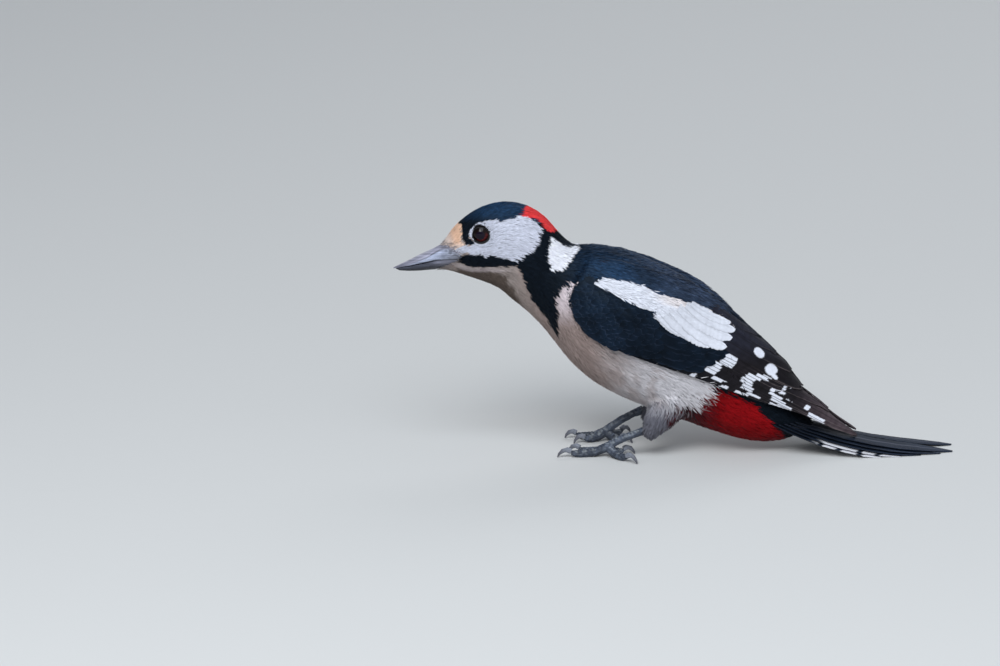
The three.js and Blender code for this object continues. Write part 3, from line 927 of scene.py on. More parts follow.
def make_head_coats(form, rng):
    """Short tufts on the face, which leave the bare horn and the eye free, and longer ones behind."""
    roots, normals = form.scatter(0.36, rng)
    x, w = side_view(roots)
    bare = (depth_inside(GAPE, x, w) > 0) & (x > -85)
    face = (along_spine(roots)[0] < 22) & (eye_distance(roots) > 3.65) & (x > -81.5) & ~bare
    coat("coat_face", form, roots[face], normals[face], length=2.3, width=0.32, proud=0.10, seed=21)
    roots, normals = form.scatter(0.48, rng)
    station = along_spine(roots)[0]
    head = (station >= 21) & (station < 50)
    coat("coat_head", form, roots[head], normals[head], length=4.2, width=0.40, proud=0.15, seed=22)


def make_coats(form, wings):
    """The coat in zones from bill to tail; the tufts grow longer and wider on the way."""
    rng = np.random.default_rng(7)
    make_head_coats(form, rng)
    roots, normals = form.scatter(0.66, rng)
    station = along_spine(roots)[0]
    x, w = side_view(roots)
    on_wing = wing_gap(roots, wings) < 0.5
    in_coverts = depth_inside(COVERTS, x, w)
    on_coverts = on_wing & (in_coverts > -0.9)
    above_patch = w > np.interp(x, [-20, 5, 36], [70, 63, 55.5])
    on_patch = (depth_inside(SCAPULAR, x, w) > np.where(x < 25, -1.0, -2.6)) & (x > 12)
    in_cleft = (x < 46) & (np.abs(roots[:, 1]) < 1.4) & (w > 40)
    low_leg = (leg_distance(roots) < 7.5) & (w < 18)
    shallow = np.where(on_wing, 0.4, coat_depth(roots))

    def zone(name, where, length, width, proud, seed, spread=1.0, sunk=None, stray=0):
        length, proud, stray = (np.broadcast_to(value, len(x))[where] for value in (length, proud, stray))
        sunk = None if sunk is None else sunk[where]
        coat(name, form, roots[where], normals[where], length, width, proud, seed, spread, sunk, stray)

    neck = (station >= 48) & (station < 66) & ~on_coverts
    zone("coat_neck", neck, np.clip(0.1 - in_coverts, 1.2, 5.2), 0.52, 0.25, 23, sunk=shallow)
    back = (station >= 64) & ((above_patch & (x < 33) & ~on_patch) | in_cleft) & ~on_coverts
    zone("coat_back", back, 5.5, 0.70, 0.30 + 0.55 * ease(10, 24, x) * on_wing, 24, sunk=shallow)
    under = (station >= 64) & ~on_wing & ~above_patch & ~low_leg
    before_wing = np.where(x < -14, np.clip(0.6 - in_coverts, 1.6, 6.8), 6.8)
    mixed = 1.3 * (ease(10, 20, x) * ease(37, 29, x))  # white and red mix where the belly meets the vent
    zone("coat_under", under, before_wing, 0.62, 0.35, 25, 1.3, stray=mixed)
    zone("coat_thighs", low_leg, 6.0, 0.50, 0.8, 26, 1.8)
    make_wisps(form)


# Lower edge of the folded wing in the side view.
WING_EDGE = np.array([
    (-27.5, 64), (-26.8, 58), (-23, 50.5), (-17, 42.8), (-6, 38.2), (6, 34), (14, 31.6), (26, 28),
])


def make_wisps(form):
    """Long thin tufts of the breast and flanks that lie over the lower edge of the folded wing."""
    rng = np.random.default_rng(27)
    roots, normals = form.scatter(0.9, rng)
    x, w = side_view(roots)
    steps = np.linalg.norm(np.diff(WING_EDGE, axis=0), axis=1)
    line = columns_at(np.linspace(0, steps.sum(), 120), np.concatenate([[0], np.cumsum(steps)]), WING_EDGE)
    gap = np.linalg.norm(np.stack([x, w], -1)[:, None] - line, axis=2).min(1)
    near = (gap < 3.0) & (w < np.interp(x, *WING_EDGE.T)) & (x > -16) & (x < 27)
    roots, normals = roots[near], normals[near]
    n = len(roots)
    raised = rng.uniform(0.0, 0.9, n) * (rng.uniform(size=n) < 0.5)
    flow = flattened(lie(roots, normals) + raised[:, None] * [0, 0, 1], normals)
    make_tufts(
        "coat_wisps", form, [SOFT], rng, roots=roots, normals=normals, flow=flow,
        length=rng.uniform(4.5, 8.5, n), width=np.full(n, 0.34), sunk=np.full(n, 0.4),
        colour=plumage(roots) * rng.uniform(0.9, 1.1, (n, 1)), proud=rng.uniform(0.5, 1.1, n),
    )


def make_bristles(surface):
    """Stiff tufts round the bare horn: they point forward over its edge, and under the chin."""
    rng = np.random.default_rng(29)
    roots, normals = surface.scatter(0.33, rng)
    x, w = side_view(roots)
    inside = depth_inside(GAPE, x, w)
    ring = (inside < 0.1) & (inside > -1.1) & (x > -82.0) & (x < -70)
    roots, normals, x, upper = roots[ring], normals[ring], x[ring], w[ring] > 82
    n = len(roots)
    flow = np.stack([np.full(n, -1.0), rng.normal(0, 0.18, n), np.where(upper, -0.5, 0.15)], -1)
    flow[:, 2] += rng.normal(0, 0.15, n)
    length = rng.uniform(0.8, 2.0, n) * np.where(upper, 1.0, 0.8)
    colour = plumage(roots) * rng.uniform(0.8, 1.15, (n, 1))
    grey = (rng.uniform(size=n) < 0.35) & (x < -74)
    make_tufts(
        "bristles", surface, [SOFT], rng, roots=roots, normals=normals, flow=flattened(flow, normals),
        length=length, width=np.full(n, 0.20), sunk=np.full(n, 0.1), proud=rng.uniform(0.35, 0.7, n),
        colour=blend(colour, HORN_GREY, grey * 0.8),
    )


# ---- wings

# Flight feathers of a folded wing in the side view: root, tip, half width. Those lower down come first.
PRIMARIES = [
    ((0, 40.2), (68.8, 14.8), 2.0),
    ((4, 42.9), (74.6, 12.0), 2.2),
    ((8, 44.1), (78.4, 10.4), 2.3),
    ((12, 44.7), (82.6, 8.2), 2.4),
    ((16, 44.6), (86.2, 6.9), 2.4),
    ((18, 45.5), (88.4, 6.0), 2.5),
    ((20, 46.0), (88.4, 7.0), 2.4),
    ((24, 46.4), (77.0, 17.2), 2.6),
]
SECONDARIES = [
    ((14, 49.6), (57.2, 24.4), 2.3),
    ((16, 49.2), (59.4, 25.0), 2.3),
    ((18, 48.9), (61.4, 25.8), 2.3),
    ((18, 50.5), (63.2, 26.4), 2.4),
    ((20, 52.1), (64.6, 27.2), 2.6),
    ((22, 53.0), (65.8, 27.6), 2.8),
]
TERTIALS = [
    ((24, 52.5), (66.4, 26.2), 4.4),
    ((24, 57.5), (62.6, 33.0), 4.0),
    ((26, 60.0), (56.0, 40.4), 3.3),
    ((28, 61.0), (47.2, 48.0), 2.9),
]
WING_MIDDLE = [(30, 0.1), (62, 0.1), (72, 0.9), (88, 2.6)]  # x, and the least distance from the midline
# White marks of the flight feathers in the side view, in rows from the white patch to the wing tip:
# x, w and half length. They follow the feathers, one feather wide.
MARKS = [
    (38.6, 43.4, 2.4), (38.0, 41.9, 2.9), (37.7, 40.5, 2.6), (36.9, 38.8, 2.7), (35.8, 37.5, 3.1),
    (34.9, 36.1, 3.0), (30.4, 36.3, 2.6), (29.2, 34.9, 3.3), (28.4, 33.4, 3.2), (27.7, 32.2, 2.4),
    (30.9, 29.6, 2.4), (33.0, 27.1, 2.8), (21.0, 31.5, 1.2),
    (51.4, 30.1, 2.0), (49.0, 30.0, 2.4), (45.9, 30.0, 2.9), (43.7, 29.4, 2.8), (42.7, 27.6, 2.7),
    (43.2, 25.6, 2.7), (40.8, 23.0, 3.0), (45.8, 22.7, 3.0),
    (53.7, 25.0, 1.0), (58.4, 25.3, 0.7), (61.6, 26.1, 1.1), (65.2, 23.8, 1.4), (61.0, 21.4, 2.2),
    (55.0, 22.6, 3.0), (56.0, 20.3, 3.3), (54.5, 18.0, 2.6), (58.6, 17.6, 3.2),
    (67.4, 16.8, 1.0), (70.5, 13.9, 2.4), (72.7, 11.9, 2.4), (74.2, 15.0, 1.6),
]
SPOTS = [(48.1, 40.5, 2.5, 1.7), (53.0, 33.4, 2.5, 2.3), (54.4, 30.4, 1.5, 0.9)]  # the same, and half width
MARK_LEAN, SPOT_LEAN = math.radians(-27), math.radians(-48)
MARK_WIDTH = 0.85
PALE_EDGE, DARK_SHAFT = (0.24, 0.20, 0.20), (0.006, 0.005, 0.006)


def mark_share(x, w, marks, lean, corners):
    """1 inside marks in the side view and 0 outside; more `corners` square their ends."""
    cover = np.zeros(np.shape(x))
    for place_x, place_w, half_length, half_width in marks:
        dx, dw = x - place_x, w - place_w
        along = dx * math.cos(lean) + dw * math.sin(lean)
        across = -dx * math.sin(lean) + dw * math.cos(lean)
        edge = np.abs(along / half_length) ** corners + np.abs(across / half_width) ** corners
        cover = np.maximum(cover, ease(1.15, 0.85, edge))
    return cover


def bar_marks(points, across, side):
    """White bars on primaries and secondaries: each fills the strip of its feather that is seen."""
    seen = np.abs(across[0, 0] - side * 0.72).argmin()
    x, w = side_view(points)
    slant = (across - across[..., seen:seen + 1]) * side * 0.9
    bars = [(*mark, MARK_WIDTH) for mark in MARKS]
    cover = mark_share(x[..., seen:seen + 1] + slant, w[..., seen:seen + 1], bars, MARK_LEAN, 4)
    return cover * ease(0.97, 0.86, across * side) * ease(-0.15, 0.05, across * side)


def flight_paint(side, tertial, rng):
    """Brown-black flight feathers with pale edges towards the tip, dark shafts and white marks."""
    tone = rng.uniform(0.8, 1.2)

    def paint(points, t, across):
        x, w = side_view(points)
        from_shaft = np.abs(across)
        colour = tone * layered(
            INK,
            (BROWN_BLACK, ease(12, 40, x)),
            (SLATE, 0.9 * ease(34, 46, w) * tertial),
            (WING_TIP, ease(60, 80, x)),
        )
        rim = ease(0.86, 1.0, from_shaft) * ease(0.35, 1, t) * ease(30, 60, x)
        colour = layered(colour, (PALE_EDGE, 0.5 * rim), (DARK_SHAFT, 0.7 * ease(0.12, 0.0, from_shaft)))
        colour = colour * (1 + 0.16 * mottle(points * [0.35, 1, 1], 1.2, 5))[..., None]
        marks = mark_share(x, w, SPOTS, SPOT_LEAN, 2.4) if tertial else bar_marks(points, across, side)
        return blend(colour, WHITE, marks)

    return paint


def own_side(side, room=0.0):
    """A rule that keeps places on a wing's own side of the body's middle, with some room to spare."""
    def narrow(places):
        inner = np.interp(places[..., 0], *zip(*WING_MIDDLE)) + room
        kept = places.copy()
        kept[..., 1] = side * np.maximum(places[..., 1] * side, inner)
        return kept

    return narrow


def feather_line(form, side, root, tip, sag, rows):
    """Middle line of a feather over the wing, and the share of the way to its tip at each row."""
    t = np.linspace(0, 1, rows)
    x = root[0] + (tip[0] - root[0]) * t
    w = root[1] + (tip[1] - root[1]) * t - sag * np.sin(t * math.pi)
    return form.seen_at(x, w, side), t


# Feathers, height of the first, step to the next, tilt, rows and columns of the mesh, column of the bake map.
FLIGHT_GROUPS = [
    (PRIMARIES, -0.50, 0.06, 0.20, 220, 15, 0),
    (SECONDARIES, -0.16, 0.05, 0.20, 160, 15, 8),
    (TERTIALS, 0.34, 0.07, 0.18, 110, 25, 14),
]


def lay_feathers(pile, form, side, feathers, base, step, tilt, rows, columns, column_of_map, rng):
    """Long feathers from root to tip over the folded wing; each lies a step over the one before."""
    for k, (root, tip, half) in enumerate(feathers):
        line, t = feather_line(form, side, root, tip, sag=0.4, rows=rows)
        centres = own_side(side, 0.5 * half)(line)[None]
        lift = np.full((1, rows), base + step * k) - 0.5 * ease(0.12, 0, t)
        place = np.array([[0.5, (column_of_map + k + 0.5) / 20]])
        paint = flight_paint(side, feathers is TERTIALS, rng)
        vanes(
            pile, form, centres, half * round_tip(t, blunt=0.16, root=0.6)[None], lift, paint, place,
            np.array([[0.96, 0.9 / 20]]), rng, columns, camber=0.12, thick=0.12, tilt=side * tilt, fray=0.06,
            hug=(-0.9, 0.4), narrow=own_side(side), ridge=0.08,
        )


def make_flight(form, side_name, side):
    rng = np.random.default_rng(31)
    pile = Pile()
    for feathers, base, step, tilt, rows, columns, column_of_map in FLIGHT_GROUPS:
        lay_feathers(pile, form, side, feathers, base, step, tilt, rows, columns, column_of_map, rng)
    pile.make(f"flight_feathers_{side_name}", [FLIGHT_VANE], ())


# The black coverts: outline in the side view, and rows from the shoulder back:
# spacing, first x, last x, length, half width, rows and columns of the mesh, height of the roots.
COVERTS = [
    [-22, 72], [-27, 68], [-28.6, 62.8], [-27, 56], [-22, 49.5], [-14, 44], [-4, 41.5], [8, 38.5], [17, 36],
    [22, 35.5], [26, 38.5], [31, 41.5], [33, 44.5], [27, 46], [21, 48], [16, 51], [10.5, 51.5], [6, 55],
    [6.4, 59], [-2, 61.5], [-9, 65.8], [-17, 70],
]
COVERT_ROWS = [
    (2.2, -31, -10, 6.0, 2.3, 9, 7, -0.28),
    (2.7, -11, 8, 9.0, 2.7, 11, 7, -0.20),
    (3.0, 5, 40, 13.0, 2.9, 15, 7, -0.02),
]


def covert_direction(x, w):
    """Lean of a covert in the side view: steep at the shoulder, level with the flight feathers behind."""
    return np.radians(np.interp(x + 0.3 * (w - 50), [-28, -18, 0, 30], [-62, -45, -32, -25]))


def covert_paint(points, t, across):
    """Black with a blue painted reflection of the sky towards the tip and a fine lighter edge."""
    x, _ = side_view(points)
    tone = 1 + 0.25 * mottle(points, 4.0, 12) + 0.12 * mottle(points * [0.4, 1, 1], 0.8, 13)
    tone = tone * (1 - 0.35 * ease(-14, 4, x))
    # Painted reflection of the sky: blue towards the tip.
    colour = blend(INK, BLUE_SHEEN_BLACK, 0.06 + 0.14 * ease(0.4, 1, t))
    rim = ease(0.7, 1, np.abs(across)) * ease(0.3, 0.8, t)
    return blend(colour, MANTLE_SKY_SHEEN, 0.55 * rim) * tone[..., None]


def covert_roots(spacing, low, high, length, rng):
    """Roots of a row of coverts in the side view, in loose rows like bricks, and the lean of each."""
    ws = np.arange(30, 76, spacing * 0.8)
    x, w = np.meshgrid(np.arange(low, high, spacing), ws)
    x = x + (np.arange(len(ws)) % 2)[:, None] * spacing / 2
    x = (x + rng.normal(0, 0.14 * spacing, x.shape)).ravel()
    w = (w + rng.normal(0, 0.14 * spacing, w.shape)).ravel()
    lean = covert_direction(x, w)
    middle_x, middle_w = x + 0.6 * length * np.cos(lean), w + 0.6 * length * np.sin(lean)
    keep = depth_inside(COVERTS, middle_x, middle_w) > -0.3
    return x[keep], w[keep], lean[keep]


def make_coverts(form, side_name, side):
    rng = np.random.default_rng(33)
    pile = Pile()
    for spacing, low, high, length, half, rows, columns, base in COVERT_ROWS:
        x, w, lean = covert_roots(spacing, low, high, length, rng)
        n = len(x)
        t = np.linspace(0, 1, rows)
        size = length * rng.uniform(0.9, 1.1, n)
        line_x = x[:, None] + (size * np.cos(lean))[:, None] * t
        line_w = w[:, None] + (size * np.sin(lean))[:, None] * t
        widths = half * round_tip(t, blunt=0.45)[None] * rng.uniform(0.9, 1.1, n)[:, None]
        lift = base + 0.34 * t[None] + rng.normal(0, 0.02, n)[:, None]
        place = np.stack([(x + 34) / 80, (w - 25) / 55], -1)
        vanes(
            pile, form, form.seen_at(line_x, line_w, side), widths, lift, covert_paint, place,
            np.full((n, 2), PATCH), rng, columns, camber=0.05, thick=0.08, tilt=side * 0.04, fray=0.12,
            ridge=0.03,
        )
    pile.make(f"coverts_{side_name}", [GLOSS_VANE], ())


# White scapulars: broad feathers in the lower part of the patch: root, tip, half width.
SCAPULARS = [
    ((6.5, 56.2), (19, 48.4), 2.4),
    ((6, 57.5), (24, 46.9), 3.0),
    ((8, 58.5), (29, 43.8), 3.6),
    ((12, 58.5), (34.6, 42.9), 3.8),
    ((15, 59.5), (36.8, 46.8), 3.8),
    ((18, 60.5), (38.0, 50.2), 3.4),
    ((20, 61.0), (36.0, 53.2), 2.6),
]


def scapular_paint(points, t, across):
    # Painted shade towards each feather's root and along its edges, where the feathers overlap; the shaft is
    # a little darker.
    tone = 0.80 + 0.20 * t + 0.05 * mottle(points * [0.4, 1, 1], 1.0, 3)
    rim = ease(0.8, 0.98, np.abs(across)) * 0.30 + ease(0.10, 0, np.abs(across)) * 0.12
    return np.asarray(WHITE) * (tone - rim)[..., None]


def make_scapulars(form, side_name, side):
    rng = np.random.default_rng(35)
    pile = Pile()
    for k, (root, tip, half) in enumerate(SCAPULARS):
        line, t = feather_line(form, side, root, tip, sag=1.2, rows=40)
        widths = half * round_tip(t, blunt=0.3, root=0.5)[None]
        lift = np.full(widths.shape, 0.22 + 0.07 * k)
        place = np.array([[0.5, (k + 0.5) / 10]])
        vanes(
            pile, form, line[None], widths, lift, scapular_paint, place, np.array([[0.96, 0.09]]), rng,
            columns=13, camber=0.18, thick=0.14, tilt=side * 0.15, fray=0.14, hug=(-0.9, 0.4),
        )
    pile.make(f"scapulars_{side_name}", [SOFT_VANE], ())


def make_scapular_coat(form, side_name, side):
    """The soft upper part of the white patch, over the roots of its broad feathers."""
    roots, normals = form.scatter(0.55, np.random.default_rng(37))
    x, w = side_view(roots)
    flow = lie(roots, normals)
    keep = depth_inside(SCAPULAR, *side_view(roots + flow * 2.8)) > 0.4
    keep &= depth_inside(SCAPULAR, *side_view(roots + flow * 4.8)) > -0.3
    keep &= w > np.interp(x, [-20, 0, 6, 12, 26, 36], [50, 55, 57.5, 58.5, 55.5, 54.0])
    keep &= roots[:, 1] * side > 0
    coat(f"coat_scapular_{side_name}", form, roots[keep], normals[keep], 5.0, 0.55, 0.65, 38, sunk=0.1)


# ---- tail

TAIL_WHITE, TAIL_SHAFT = (0.70, 0.70, 0.74), (0.16, 0.17, 0.22)
TAIL_ROWS, TAIL_COLUMNS = 110, 13
# The outer feathers: how far from the tip the white starts, and where its black bars are.
TAIL_BARS = {4: (35.0, [8.6, 16.0]), 5: (29.0, [8.0, 16.6, 24.0])}


def tail_paint(number, length):
    """Black with a blue-grey painted reflection of the sky towards the tip and a grey shaft, or on the outer
    feathers white towards the tip, with black bars.
    """
    def paint(points, t, across):
        # Painted reflection of the sky: blue-grey towards the tip.
        dark = blend(INK, MANTLE_SKY_SHEEN, 0.15 + 0.35 * ease(0, 1, t))
        dark = dark * (1 + 0.2 * mottle(points * [0.2, 1, 1], 1.0, 9))[..., None]
        dark = blend(dark, TAIL_SHAFT, 0.45 * ease(0.16, 0.04, np.abs(across)) * (number < 4))
        if number not in TAIL_BARS:
            return dark
        start, bars = TAIL_BARS[number]
        from_tip = (1 - t) * length
        ragged = 0.5 * mottle(points, 2.0, 4)
        white = ease(start + 2, start - 2, from_tip + ragged + 3 * across)
        if number == 4:
            white = white * ease(-0.15, 0.1, across)
        for bar in bars:
            white = white * ease(0.9, 1.5, np.abs(from_tip - bar - 1.2 * np.abs(across) + 0.3 * ragged))
        return blend(dark, TAIL_WHITE, white)

    return paint


def heights_under(name, places):
    """Height of a solid's top below each place of a plan; where it misses the solid, its row's mean."""
    solid = bmesh.new()
    solid.from_mesh(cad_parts[name].data)
    tree = BVHTree.FromBMesh(solid)
    solid.free()
    height = np.full(places.shape[:2], np.nan)
    for spot in np.ndindex(height.shape):
        start = (Vector((*places[spot], 80)) + Vector(SHIFT)) * MM
        hit = tree.ray_cast(start, Vector((0, 0, -1)))[0]
        if hit:
            height[spot] = hit.z / MM - SHIFT[2]
    return np.where(np.isnan(height), np.nanmean(height, axis=1)[:, None], height)


def make_tail_feather(number, side_name, side):
    """A fine vane in the place of one CAD tail feather, whose edges and height it takes."""
    name = f"tail_feather_{number}_{side_name}"
    points = node_points(name)
    middle = points.mean(0)
    axis = np.linalg.svd((points - middle)[:, :2])[2][0]
    axis = axis * np.sign(axis[0])
    perp = np.array([-axis[1], axis[0]]) * side
    station = (points - middle)[:, :2] @ axis
    t = np.linspace(0, 1, TAIL_ROWS)
    length = station.max() - station.min()
    at = (station.min() + 0.15 + (length - 0.3) * t)[:, None]
    low, high = slices(points - middle, node_edges(name), [*axis, 0], np.array([[*perp, 0]]), at[:, 0])
    centre, half = (low + high) / 2, (high - low) / 2
    edge = 1 - 0.06 * np.random.default_rng(40 + number).uniform(size=(TAIL_ROWS, 2)) ** 3
    across = np.linspace(-1, 1, TAIL_COLUMNS)
    reach = frayed(half * across, edge)
    line = middle[:2] + at[..., None] * axis
    top = heights_under(name, line + (centre + half * across * 0.9)[..., None] * perp)
    camber = 0.1 * (1 - across**2) + 0.12 * bell(across, 0.13)
    sheet = np.dstack([line + (centre + reach)[..., None] * perp, np.maximum(top + camber - 0.12, 0.05)])
    under = sheet[1:-1, 1:-1] - [0, 0, 0.42]
    under[..., 2] = np.maximum(under[..., 2], 0.03)
    t, across = np.broadcast_arrays(t[:, None], across)
    colours = tail_paint(number, length)(sheet, t, across)
    bake = np.stack([0.02 + 0.96 * t, 0.5 + 0.45 * across], -1)
    barbs = barb_map(at[:, 0], reach, 1.1)
    pile = Pile()
    add_leaves(pile, sheet[None], under[None], colours[None], bake[None], barbs[None], turned=side < 0)
    pile.make(f"tail_vane_{number}_{side_name}", [FLIGHT_VANE], [name])


# ---- bill, eyes, legs and claws


def slices(points, edges, axis, across, stations):
    """Extent of a solid along some directions, where planes square to an axis cut it.

    axis: unit vector; across: (k, 3) directions. Gives arrays of lows and highs, (stations, k) each.
    """
    along = points @ axis
    a, b = edges.T
    lows, highs = [], []
    for station in stations:
        crossing = (along[a] - station) * (along[b] - station) < 0
        share = (station - along[a[crossing]]) / (along[b[crossing]] - along[a[crossing]])
        cut = points[a[crossing]] + (points[b[crossing]] - points[a[crossing]]) * share[:, None]
        places = cut @ across.T
        lows.append(places.min(0))
        highs.append(places.max(0))
    return np.array(lows), np.array(highs)


def softened(profile, reach):
    """A profile with its corners rounded over `reach` stations, its ends kept."""
    padded = np.pad(profile, (reach, reach), "reflect", reflect_type="odd")
    return np.convolve(padded, np.hanning(2 * reach + 3)[1:-1] / (reach + 1), "same")[reach:-reach]


BILL_RINGS, BILL_SIDES = 110, 64
# Each half of the bill: height of its widest place as a share, and how full its section is above and below.
BILL_HALVES = {"bill_upper": (0.12, 1.5, 2.4), "bill_lower": (0.88, 2.4, 1.6)}
# Edge where the two halves of the bill meet, in the side view: x and w.
MOUTH = np.array([[-100.6, 75.9], [-94.7, 76.7], [-88.9, 77.9], [-83.2, 79.2], [-79, 79.6], [-73, 79.6]])


def along_bill(x):
    """0 at the feathers, 1 near the tip of the bill."""
    return (-79.5 - x) / 21


def groove_line(x):
    """Height of the lengthwise groove, as a share of the upper half's."""
    return 0.62 - 0.40 * np.clip(along_bill(x), 0, 1)


def horn_relief(x, share, upper):
    """How strongly a place lies in the lengthwise groove, and on the ridge above it."""
    along = np.clip(along_bill(x), 0, 1)
    line = groove_line(x)
    fade = ease(0.85, 0.35, along) * ease(0.0, 0.18, along)
    groove = bell(share - line, 0.06) * fade
    ridge = bell(share - line - 0.14, 0.07) * fade
    return (groove, ridge) if upper else (0.5 * groove, 0 * ridge)


def horn_paint(x, w, share, upper):
    """Grey horn: paler on the upper half, streaked lengthwise, with painted shade in the grooves and under
    the lower half, and painted highlight on the ridges and along the top.
    """
    along = along_bill(x)
    if upper:
        colour = layered(
            blend((0.200, 0.212, 0.260), (0.350, 0.385, 0.505), ease(-0.25, 0.2, along)),
            (
                blend((0.200, 0.195, 0.240), (0.300, 0.300, 0.380), ease(-0.2, 0.3, along)),
                ease(-0.06, 0.04, share - groove_line(x)),
            ),
            ((0.145, 0.145, 0.190), ease(0.25, 0.9, along)),
            # Painted highlight along the top of the upper half.
            ((0.44, 0.43, 0.48), 0.5 * ease(0.80, 0.95, share) * ease(0.1, 0.4, along)),
            ((0.09, 0.10, 0.14), 0.6 * ease(0.30, 0.05, share) * ease(0.3, 0.6, along)),
        )
    else:
        # Painted shade: the lower half darkens towards its underside.
        low = blend((0.026, 0.026, 0.034), (0.012, 0.013, 0.020), ease(0, 0.5, along))
        high = blend((0.170, 0.172, 0.220), (0.060, 0.065, 0.090), ease(0.0, 0.40, along))
        colour = blend(low, high, ease(0.15, 0.8, share))
    groove, ridge = horn_relief(x, share, upper)
    streak = mottle(np.stack([x * 0.10, 0 * x, w], -1), 0.45, 6)
    # Painted shade in the grooves and painted highlight on the ridge above them.
    return colour * ((1 + 0.24 * streak) * (1 - 0.62 * groove + 0.25 * ridge))[..., None]


def bill_section(name, stations):
    """Half width, bottom and top of one half of the bill at each station, with the mouth edge redrawn."""
    directions = np.array([[0, 1.0, 0], [0, 0, 1.0]])
    lows, highs = slices(node_points(name), node_edges(name), np.array([1.0, 0, 0]), directions, stations)
    half = softened(highs[:, 0], 9)
    bottom = softened(lows[:, 1], 9)
    top = softened(highs[:, 1], 9)
    edge = np.interp(stations, MOUTH[:, 0], MOUTH[:, 1]) + LOOK_DOWN * half
    if name == "bill_upper":
        bottom = np.minimum(edge, top - 0.3)
    else:
        top = np.maximum(edge - 0.06, bottom + 0.3)
        from_tip = (stations - stations[-1]) / (stations[0] - stations[-1])
        close = np.sqrt(np.clip(from_tip / 0.09, 0.02, 1))
        half = half * close
        bottom = top - (top - bottom) * close
    return half[:, None], bottom[:, None], top[:, None]


def closed_tube(rings):
    """Vertices and faces of a tube of rings whose ends are closed with a fan each."""
    rows, around = rings.shape[:2]
    count = rows * around
    first, last = np.arange(around), count - around + np.arange(around)
    caps = np.concatenate([
        np.stack([np.roll(first, -1), first, np.full(around, count)], 1),
        np.stack([last, np.roll(last, -1), np.full(around, count + 1)], 1),
    ])
    points = np.concatenate([rings.reshape(-1, 3), rings[[0, -1]].mean(1)])
    return points, np.concatenate([tube_faces(np.arange(count).reshape(rows, around)), caps])


def make_bill():
    """Both halves are lofted again over the CAD ones, with a sharp culmen, grooves and growth lines."""
    turn = np.linspace(0, 2 * math.pi, BILL_SIDES, endpoint=False)[None]
    sine, cosine = np.sin(turn), np.cos(turn)
    for name, (widest, top_power, bottom_power) in BILL_HALVES.items():
        upper = name == "bill_upper"
        low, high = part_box(name)
        tip, base = low.x / MM - SHIFT[0], high.x / MM - SHIFT[0]
        stations = base + (tip - base) * (1 - (1 - np.linspace(0.01, 0.998, BILL_RINGS)) ** 1.3)
        half, bottom, top = bill_section(name, stations)
        middle = bottom + (top - bottom) * widest
        power = np.where(sine > 0, top_power, bottom_power)
        height = middle + np.where(sine > 0, top - middle, bottom - middle) * np.abs(sine) ** (2 / power)
        share = (height - bottom) / (top - bottom)
        x = np.broadcast_to(stations[:, None], share.shape)
        groove, ridge = horn_relief(x, share, upper)
        fold = 0.12 * ridge - 0.16 * groove
        width = (half + fold) * np.sign(cosine) * np.abs(cosine) ** (2 / power)
        colour = horn_paint(x, height - LOOK_DOWN * np.abs(width), share, upper)
        points, faces = closed_tube(np.stack([x, width, height], -1))
        ends = np.stack([colour[0].mean(0), colour[-1].mean(0)])
        colours = np.concatenate([colour.reshape(-1, 3), ends])
        make_shell(f"horn_{name}", points, faces[:, ::-1], colours, [HORN], [name])


GAPE_ROWS, GAPE_COLUMNS = 96, 48
GAPE_SPLIT = 81.5  # corners of the outline higher than this are on its upper edge
GAPE_DARK = (0.050, 0.055, 0.075)


def gape_paint(x, w, mouth, up_share, low_share):
    """The bill's own colours on both sides of the mouth, darker towards the moustache."""
    return layered(
        horn_paint(x, w, low_share, False),
        (horn_paint(x, w, up_share, True), ease(-0.1, 0.1, w - mouth)),
        (GAPE_DARK, 0.6 * ease(-78.5, -72.8, x) * ease(2.6, 0.6, np.abs(w - mouth))),
    )


def make_gape(surface):
    """The bare, wrinkled horn between the bill's solids and the moustache: a thin leaf on each cheek."""
    x = np.linspace(-87.5, -72.3, GAPE_ROWS)[:, None]
    upper = [corner for corner in GAPE if corner[1] > GAPE_SPLIT]
    lower = [corner for corner in GAPE[::-1] if corner[1] <= GAPE_SPLIT]
    top = np.interp(x, *zip(*upper)) + 0.3
    bottom = np.interp(x, *zip(*lower)) - 0.3
    mouth = np.interp(x, *MOUTH.T)
    share = np.linspace(0, 1, GAPE_COLUMNS)
    w = bottom + (top - bottom) * share
    crease = bell(w - mouth, 0.28)
    up_share = (w - mouth) / np.maximum(top - mouth, 1)
    low_share = (w - bottom) / np.maximum(mouth - bottom, 1)
    edge = np.minimum(np.minimum(share, 1 - share) / 0.10, np.minimum((x - x[0]) / 6.0, (x[-1] - x) / 0.8))
    x = np.broadcast_to(x, w.shape)
    for side_name, side in SIDES.items():
        spots, normals = surface.nearest(surface.seen_at(x, w, side))
        fan = up_share * 3.2 + 0.5 * mottle(spots * [0.4, 1, 1], 1.6, 15)
        folds = np.sin(fan * math.pi * 2) * ease(-83, -76, x) * (w > mouth)
        lift = 0.20 * ease(0, 1, edge) - 0.30 * ease(1, 0, edge) + 0.05 * folds - 0.25 * crease
        leaf = spots + normals * lift[..., None]
        under = spots[1:-1, 1:-1] - normals[1:-1, 1:-1] * 0.6
        # Painted shade in the mouth's crease, and painted light and shade across the wrinkles.
        tone = (1 + 0.34 * folds) * (1 - 0.75 * crease)
        colour = gape_paint(x, w, mouth, up_share, low_share) * tone[..., None]
        pile = Pile()
        add_leaves(pile, leaf[None], under[None], colour[None], turned=side > 0)
        pile.make(f"horn_gape_{side_name}", [HORN], (), bake=False)


# The pupil's faint violet is a painted reflection of the sky.
PUPIL_BLACK_VIOLET_SHEEN = (0.004, 0.001, 0.008)
IRIS, IRIS_RIM = (0.085, 0.010, 0.010), (0.030, 0.005, 0.006)


